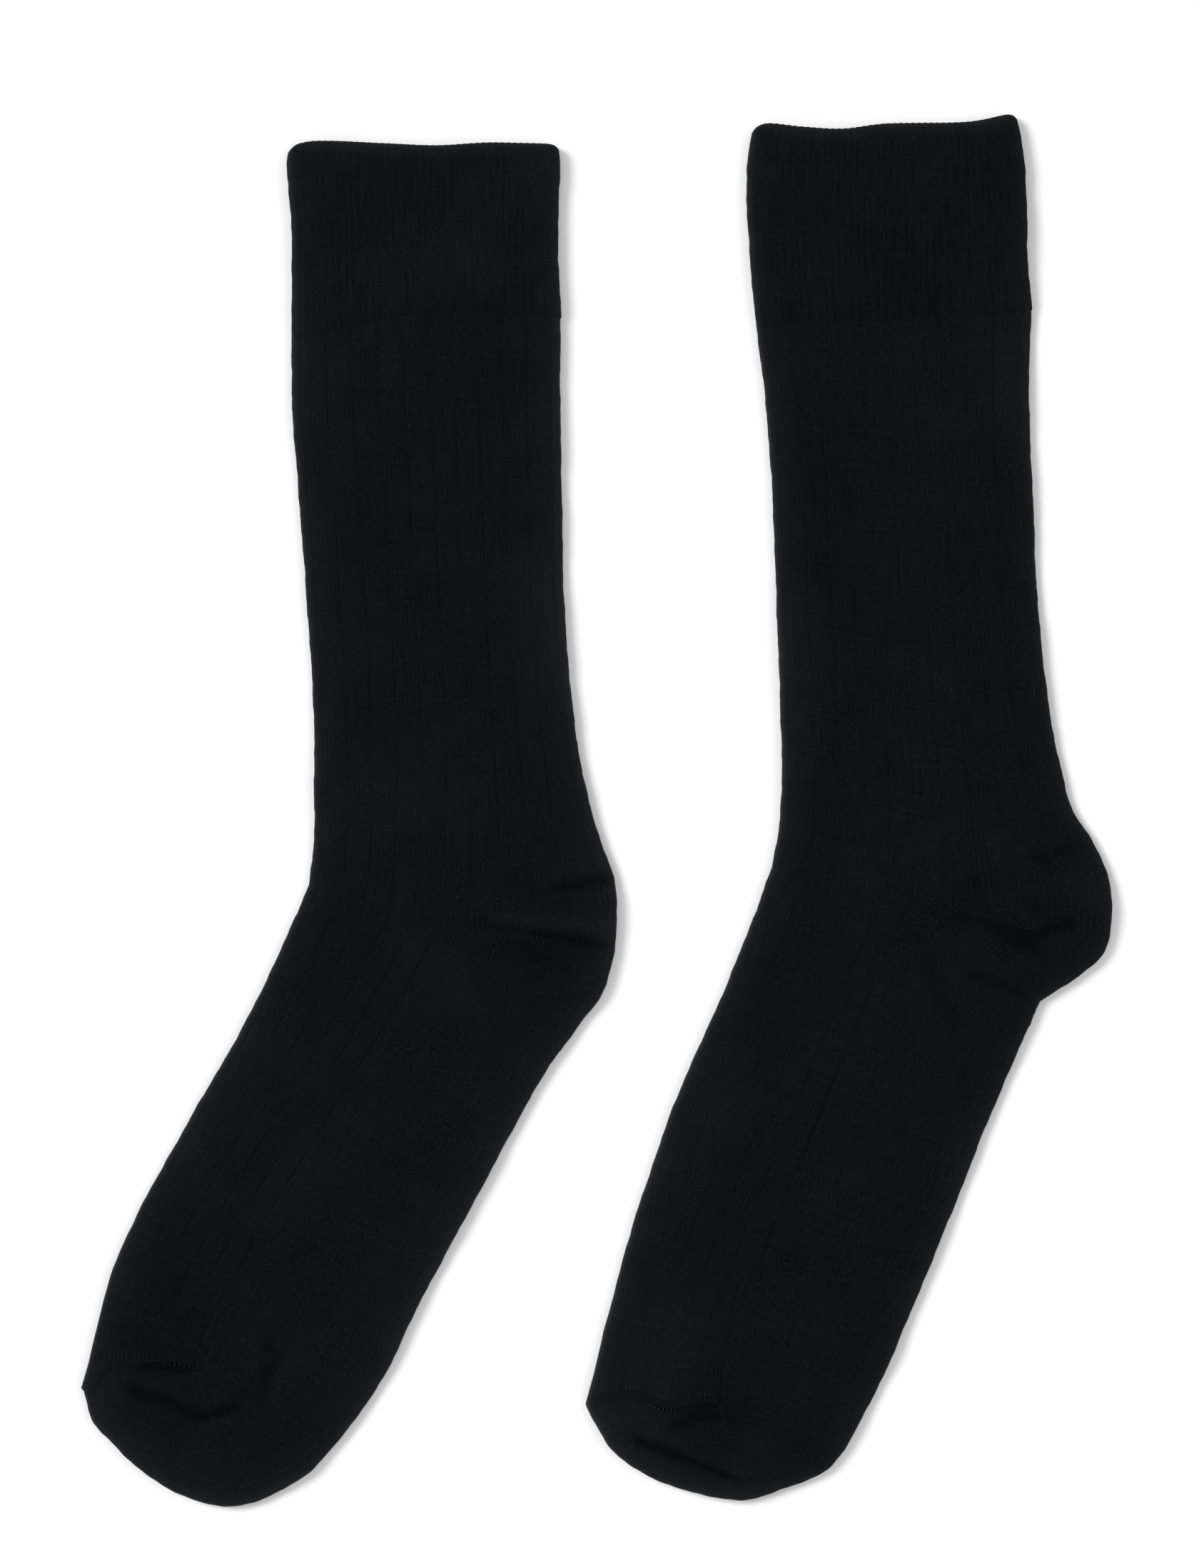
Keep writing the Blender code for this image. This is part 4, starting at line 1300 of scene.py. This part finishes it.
# %% [markdown]
# The chain of loops
#
# The loops of a chain repeat, so a node tree sets one at every point of a row, turned along
# the row and tipped off the cloth, with a fixed seed for the small differences between
# hand-guided loops. The same tree makes the gore marks and the stretched loops further down.

# %% The chain tree
chain, given, made = new_tree("Chain of loops", [
    ("Loop", "NodeSocketObject", None),
    ("Lean", "NodeSocketFloat", 0.5),
    ("Lean spread", "NodeSocketFloat", 0.4),
    ("Size spread", "NodeSocketFloat", 0.2),
    ("Seed", "NodeSocketInt", 4),
    ("Material", "NodeSocketMaterial", None),
])
asked = given.outputs
along_row = add_node(chain, "FunctionNodeAlignRotationToVector", {
    "Vector": named(chain, "along", "FLOAT_VECTOR"),
}, axis="X")
off_cloth = add_node(chain, "FunctionNodeAlignRotationToVector", {
    "Rotation": along_row.outputs[0], "Vector": named(chain, "outward", "FLOAT_VECTOR"),
}, axis="Z", pivot_axis="X")
least, most = (
    maths(chain, "MULTIPLY", asked["Lean"], maths(chain, operation, 1.0, asked["Lean spread"]))
    for operation in ("SUBTRACT", "ADD")
)
lean = add_node(chain, "FunctionNodeRandomValue", {
    2: least, 3: most, "Seed": asked["Seed"],
}, data_type="FLOAT")
lean_turn = add_node(chain, "ShaderNodeCombineXYZ", {"Z": lean.outputs[1]})
turn_loop = add_node(chain, "FunctionNodeRotateRotation", {
    0: off_cloth.outputs[0], 1: lean_turn.outputs[0],
}, rotation_space="LOCAL")
size = add_node(chain, "FunctionNodeRandomValue", {
    2: maths(chain, "SUBTRACT", 1.0, asked["Size spread"]),
    3: maths(chain, "ADD", 1.0, asked["Size spread"]),
    "Seed": maths(chain, "ADD", asked["Seed"], 7.0),
}, data_type="FLOAT")
place_loops = add_node(chain, "GeometryNodeInstanceOnPoints", {
    "Points": asked["Geometry"],
    "Instance": add_node(chain, "GeometryNodeObjectInfo", {"Object": asked["Loop"]}).outputs["Geometry"],
    "Rotation": turn_loop.outputs[0],
    "Scale": size.outputs[1],
})
end_tree(chain, place_loops.outputs["Instances"], given, made)

# %% The linking, with its chains
LOOP_COUNT, LOOP_END = 56, 0.468            # up to the fold: below it the cord is pressed flat
CHAIN_RISE, CHAIN_OFF = 0.62, 0.42          # how high on the cord a chain lies, and how far from its middle
CHAIN_LEAN = 1.05

link_thread = knit_material("link_thread_yarn", 0.05, 0.46, 0.0, 0.0, (0.0, 0.0))
seams = {}
for number, (side, core) in enumerate(cores.items()):
    core.data.materials.append(link_thread)
    rows = []
    for line, hand in enumerate((1, -1)):
        share = (np.arange(LOOP_COUNT) + 0.5) / LOOP_COUNT * LOOP_END
        laid = linking_course(side, share, [SEAM_RISE * CHAIN_RISE], [hand * CHAIN_OFF])
        row = stitch_points(f"toe_seam_loops_{side}_{line}", laid, LOOP_FUZZ)
        rows.append(run_tree(row, chain, {
            "Loop": loop, "Lean": hand * CHAIN_LEAN, "Lean spread": 0.2, "Size spread": 0.18,
            "Seed": 4 + 10 * number + line, "Material": link_thread,
        }))
    join(core, rows)
    seams[side] = core
    print(side, "linking", len(core.data.polygons), "faces")
bpy.data.objects.remove(loop)

# %% [markdown]
# Press the knitting in and give the cloth its yarn
#
# Each tube and pocket now goes through the relief tree. The cuff has ribs of two wales and no
# single wales to see, the leg and foot have a line every six wales, and the pockets have
# nothing but plain wales. Depths are in metres, as the node tree works in Blender's units.

# %% Relief and material
RELIEF = {
    "cuff": (cuffs, "cuff_rib", {"Wales per rib": 2.0, "Rib width": 1.0, "Rib depth": 0.00013,
                                 "Wale depth": 0.0, "Unevenness": 0.5, "Patch size": 0.016}),
    "leg": (legs, "leg_rib", {"Rib width": 0.9, "Rib depth": 0.00023, "Wale depth": 0.00010,
                              "Unevenness": 0.45}),
    "foot": (feet, "foot_knit", {"Rib width": 0.8, "Rib depth": 0.00023, "Wale depth": 0.00010,
                                 "Unevenness": 0.5}),
    "heel": (heels, "plain_knit", {"Rib depth": 0.0, "Wale depth": 0.00010}),
    "toe": (toes, "plain_knit", {"Rib depth": 0.0, "Wale depth": 0.00010}),
}
for piece_name, (shells, slot, values) in RELIEF.items():
    for side in SIDES:
        run_tree(shells[side], relief, {**values, "Material": yarn[slot]})
    print(piece_name, {side: len(shells[side].data.polygons) for side in SIDES}, "faces")

# %% [markdown]
# The marks along the gores
#
# Where the short rows of a pocket meet, each pair of turns leaves a small slanted stitch on
# the surface, so a row of them runs out from the side line. It is the chain of loops again,
# with a thinner loop and a row of points on each side of the gore.

# %% Gore marks
MARK_SPACING, MARK_START = 1.5, 0.02
MARK_REACH = 0.30           # how much of the gore's course they are seen along
MARK_OFF, MARK_LEAN = 0.45, 0.7             # how far from the gore, and how slanted
mark = yarn_loop("mark_shape", 1.6, 0.24, 0.34)
for kind, shells in (("heel", heels), ("toe", toes)):
    for side in SIDES:
        pocket = pockets[kind, side]
        count = round(np.linalg.norm(pocket.gore_end - pocket.apex) * 2 * MARK_REACH / MARK_SPACING)
        rows = []
        for line, hand in enumerate((1, -1)):
            share = MARK_START + (np.arange(count) + 0.25 + 0.5 * line) / count * MARK_REACH
            laid = half_courses(side, [pocket.apex], [pocket.gore_end], share, HEIGHT, shift=hand * MARK_OFF)
            row = stitch_points(f"gore_marks_{kind}_{side}_{line}", laid, MARK_FUZZ)
            rows.append(run_tree(row, chain, {
                "Loop": mark, "Lean": hand * MARK_LEAN, "Size spread": 0.25, "Seed": 30 + 5 * line + count,
                "Material": yarn["plain_knit"],
            }))
        join(shells[side], rows)
        print(f"{kind}_{side}: {2 * count} gore marks")

# %% [markdown]
# Stretched loops beside the linking
#
# Beside the linking the last course is stretched, and its loops show as a row of short
# strokes across the join. They are seen only here and there, so each row is listed one by one.

# %% Stretched loops
STRETCHED = {               # first and last share of the course, how far from the join, which piece
    "left": [(0.20, 0.40, 1.5, feet), (0.02, 0.12, -1.8, toes)],
    "right": [(0.285, 0.43, 2.2, feet), (0.16, 0.25, -2.0, toes), (0.02, 0.07, 1.8, feet)],
}
STRETCHED_SPACING, STRETCHED_FUZZ = 1.15, 0.80
for side, sock in SOCKS.items():
    cloth_round = 2 * math.dist(sock.foot[-1].side, sock.foot[-1].front)
    for first, last, across, shells in STRETCHED[side]:
        count = round((last - first) * cloth_round / STRETCHED_SPACING)
        laid = linking_course(side, np.linspace(first, last, count), [0.0], [across])
        row = stitch_points(f"stretched_loops_{side}", laid, STRETCHED_FUZZ)
        run_tree(row, chain, {
            "Loop": mark, "Lean": 1.4, "Lean spread": 0.12, "Size spread": 0.25, "Seed": count,
            "Material": yarn["foot_knit" if shells is feet else "plain_knit"],
        })
        join(shells[side], [row])
        print(f"{shells[side].name}: {count} stretched loops")
bpy.data.objects.remove(mark)

# %% [markdown]
# The table, the light and the camera
#
# Black on white is mostly a question of light, though the yarn also carries painted shade and
# painted light. The floor is plain white and lit so that it reaches full white. A broad, low
# light from the left rakes over the cloth, which brings out ribs and creases and throws one soft
# shadow to the right, and a weaker one from the right opens the shadows. The camera looks
# straight down through a long lens, so that the outlines stay true.

# %% Floor
FLOOR_REACH, FLOOR_DROP = 2.5, 0.0002       # metres
corners = [(x * FLOOR_REACH, y * FLOOR_REACH, -FLOOR_DROP) for x, y in ((-1, -1), (1, -1), (1, 1), (-1, 1))]
floor = new_piece("floor", corners, [(0, 1, 2, 3)])
paper = bpy.data.materials.new("white_paper_sweep")
paper.use_nodes = True
paper_shader = paper.node_tree.nodes["Principled BSDF"]
for title, value in (("Base Color", (0.9, 0.9, 0.9, 1.0)), ("Roughness", 1.0), ("Specular IOR Level", 0.0)):
    paper_shader.inputs[title].default_value = value
floor.data.materials.append(paper)
print("the floor is", 2 * FLOOR_REACH, "m wide")

# %% Light
WALL_LIGHT, CEILING_LIGHT = 1.30, 0.43      # the white walls of the studio, and the dimmer air above

world = bpy.data.worlds.new("studio")
world.use_nodes = True
sky = world.node_tree.nodes["Background"]
sky.inputs["Color"].default_value = (1.0, 1.0, 1.0, 1.0)
direction = add_node(world.node_tree, "ShaderNodeTexCoord").outputs["Generated"]
upwards = add_node(world.node_tree, "ShaderNodeSeparateXYZ", {0: direction}).outputs["Z"]
brightness = ramp(world.node_tree, upwards, 0.0, 1.0, WALL_LIGHT, CEILING_LIGHT)
feed(world.node_tree, sky.inputs["Strength"], brightness)
scene.world = world


def broad_sun(name, energy, spread, shines_along):
    data = bpy.data.lights.new(name, "SUN")
    data.energy = energy
    data.angle = math.radians(spread)
    sun = bpy.data.objects.new(name, data)
    sun.rotation_euler = Vector(shines_along).to_track_quat("-Z", "Y").to_euler()
    scene.collection.objects.link(sun)


broad_sun("raking_light", 2.75, 30, (6.0, -2.6, -4.6))
broad_sun("fill_light", 0.7, 60, (-6.0, -1.0, -3.0))
print("lights:", [light.name for light in bpy.data.lights])

# %% Camera
FRAME_CENTRE = (0.8, 8.4)
FRAME_HEIGHT = 507.4
CAMERA_HEIGHT = 1800.0
SENSOR = 36.0

camera_data = bpy.data.cameras.new("camera")
camera_data.sensor_fit = "VERTICAL"
camera_data.sensor_height = SENSOR
camera_data.lens = SENSOR * CAMERA_HEIGHT / FRAME_HEIGHT
camera_data.clip_end = 20.0
camera = bpy.data.objects.new("camera", camera_data)
camera.location = (FRAME_CENTRE[0] * MM, FRAME_CENTRE[1] * MM, CAMERA_HEIGHT * MM)
scene.collection.objects.link(camera)
scene.camera = camera
scene.view_settings.view_transform = "Standard"
print("camera lens", round(camera_data.lens, 1), "mm")

# %% [markdown]
# Tying the cloth to the frame
#
# Each piece of cloth stands for one solid of the CAD model and rides on the same body. Its
# cloth area is printed beside what it was cut to: the flat size of the cloth all the way
# round, before the sock was folded and laid down.

# %% Frame
Part = namedtuple("Part", "shells slot")
Cut = namedtuple("Cut", "width length share")
PARTS = {
    "cuff": Part(cuffs, "cuff_rib"),
    "leg": Part(legs, "leg_rib"),
    "heel": Part(heels, "plain_knit"),
    "foot": Part(feet, "foot_knit"),
    "toe": Part(toes, "plain_knit"),
    "toe_seam": Part(seams, "link_thread"),
}
CUTS = {                    # left and right; a pocket is only a share of its rectangle
    "cuff": (Cut(176, 59, 1.0), Cut(182, 64, 1.0)),
    "leg": (Cut(172, 197, 1.0), Cut(172, 188, 1.0)),
    "foot": (Cut(188, 160, 1.0), Cut(193, 168, 1.0)),
    "heel": (Cut(118, 49, 0.56), Cut(124, 65, 0.5)),
    "toe": (Cut(96, 104, 0.5), Cut(87, 100, 0.42)),
}
for piece_name, part in PARTS.items():
    for number, side in enumerate(SIDES):
        piece = part.shells[side]
        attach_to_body(piece, "root")
        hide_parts(f"{piece_name}_{side}")
        if piece_name not in CUTS:
            continue
        cut = CUTS[piece_name][number]
        cloth_area = sum(face.area for face in piece.data.polygons) / 2
        cut_area = cut.width * cut.length * cut.share
        print(f"{piece.name}: cloth {cloth_area * 1e6:.0f} mm2 of a cut {cut_area:.0f} mm2")

triangles = {
    piece.name: sum(len(face.vertices) - 2 for face in piece.data.polygons)
    for part in PARTS.values() for piece in part.shells.values()
}
print("triangles:", triangles, "in all", sum(triangles.values()))
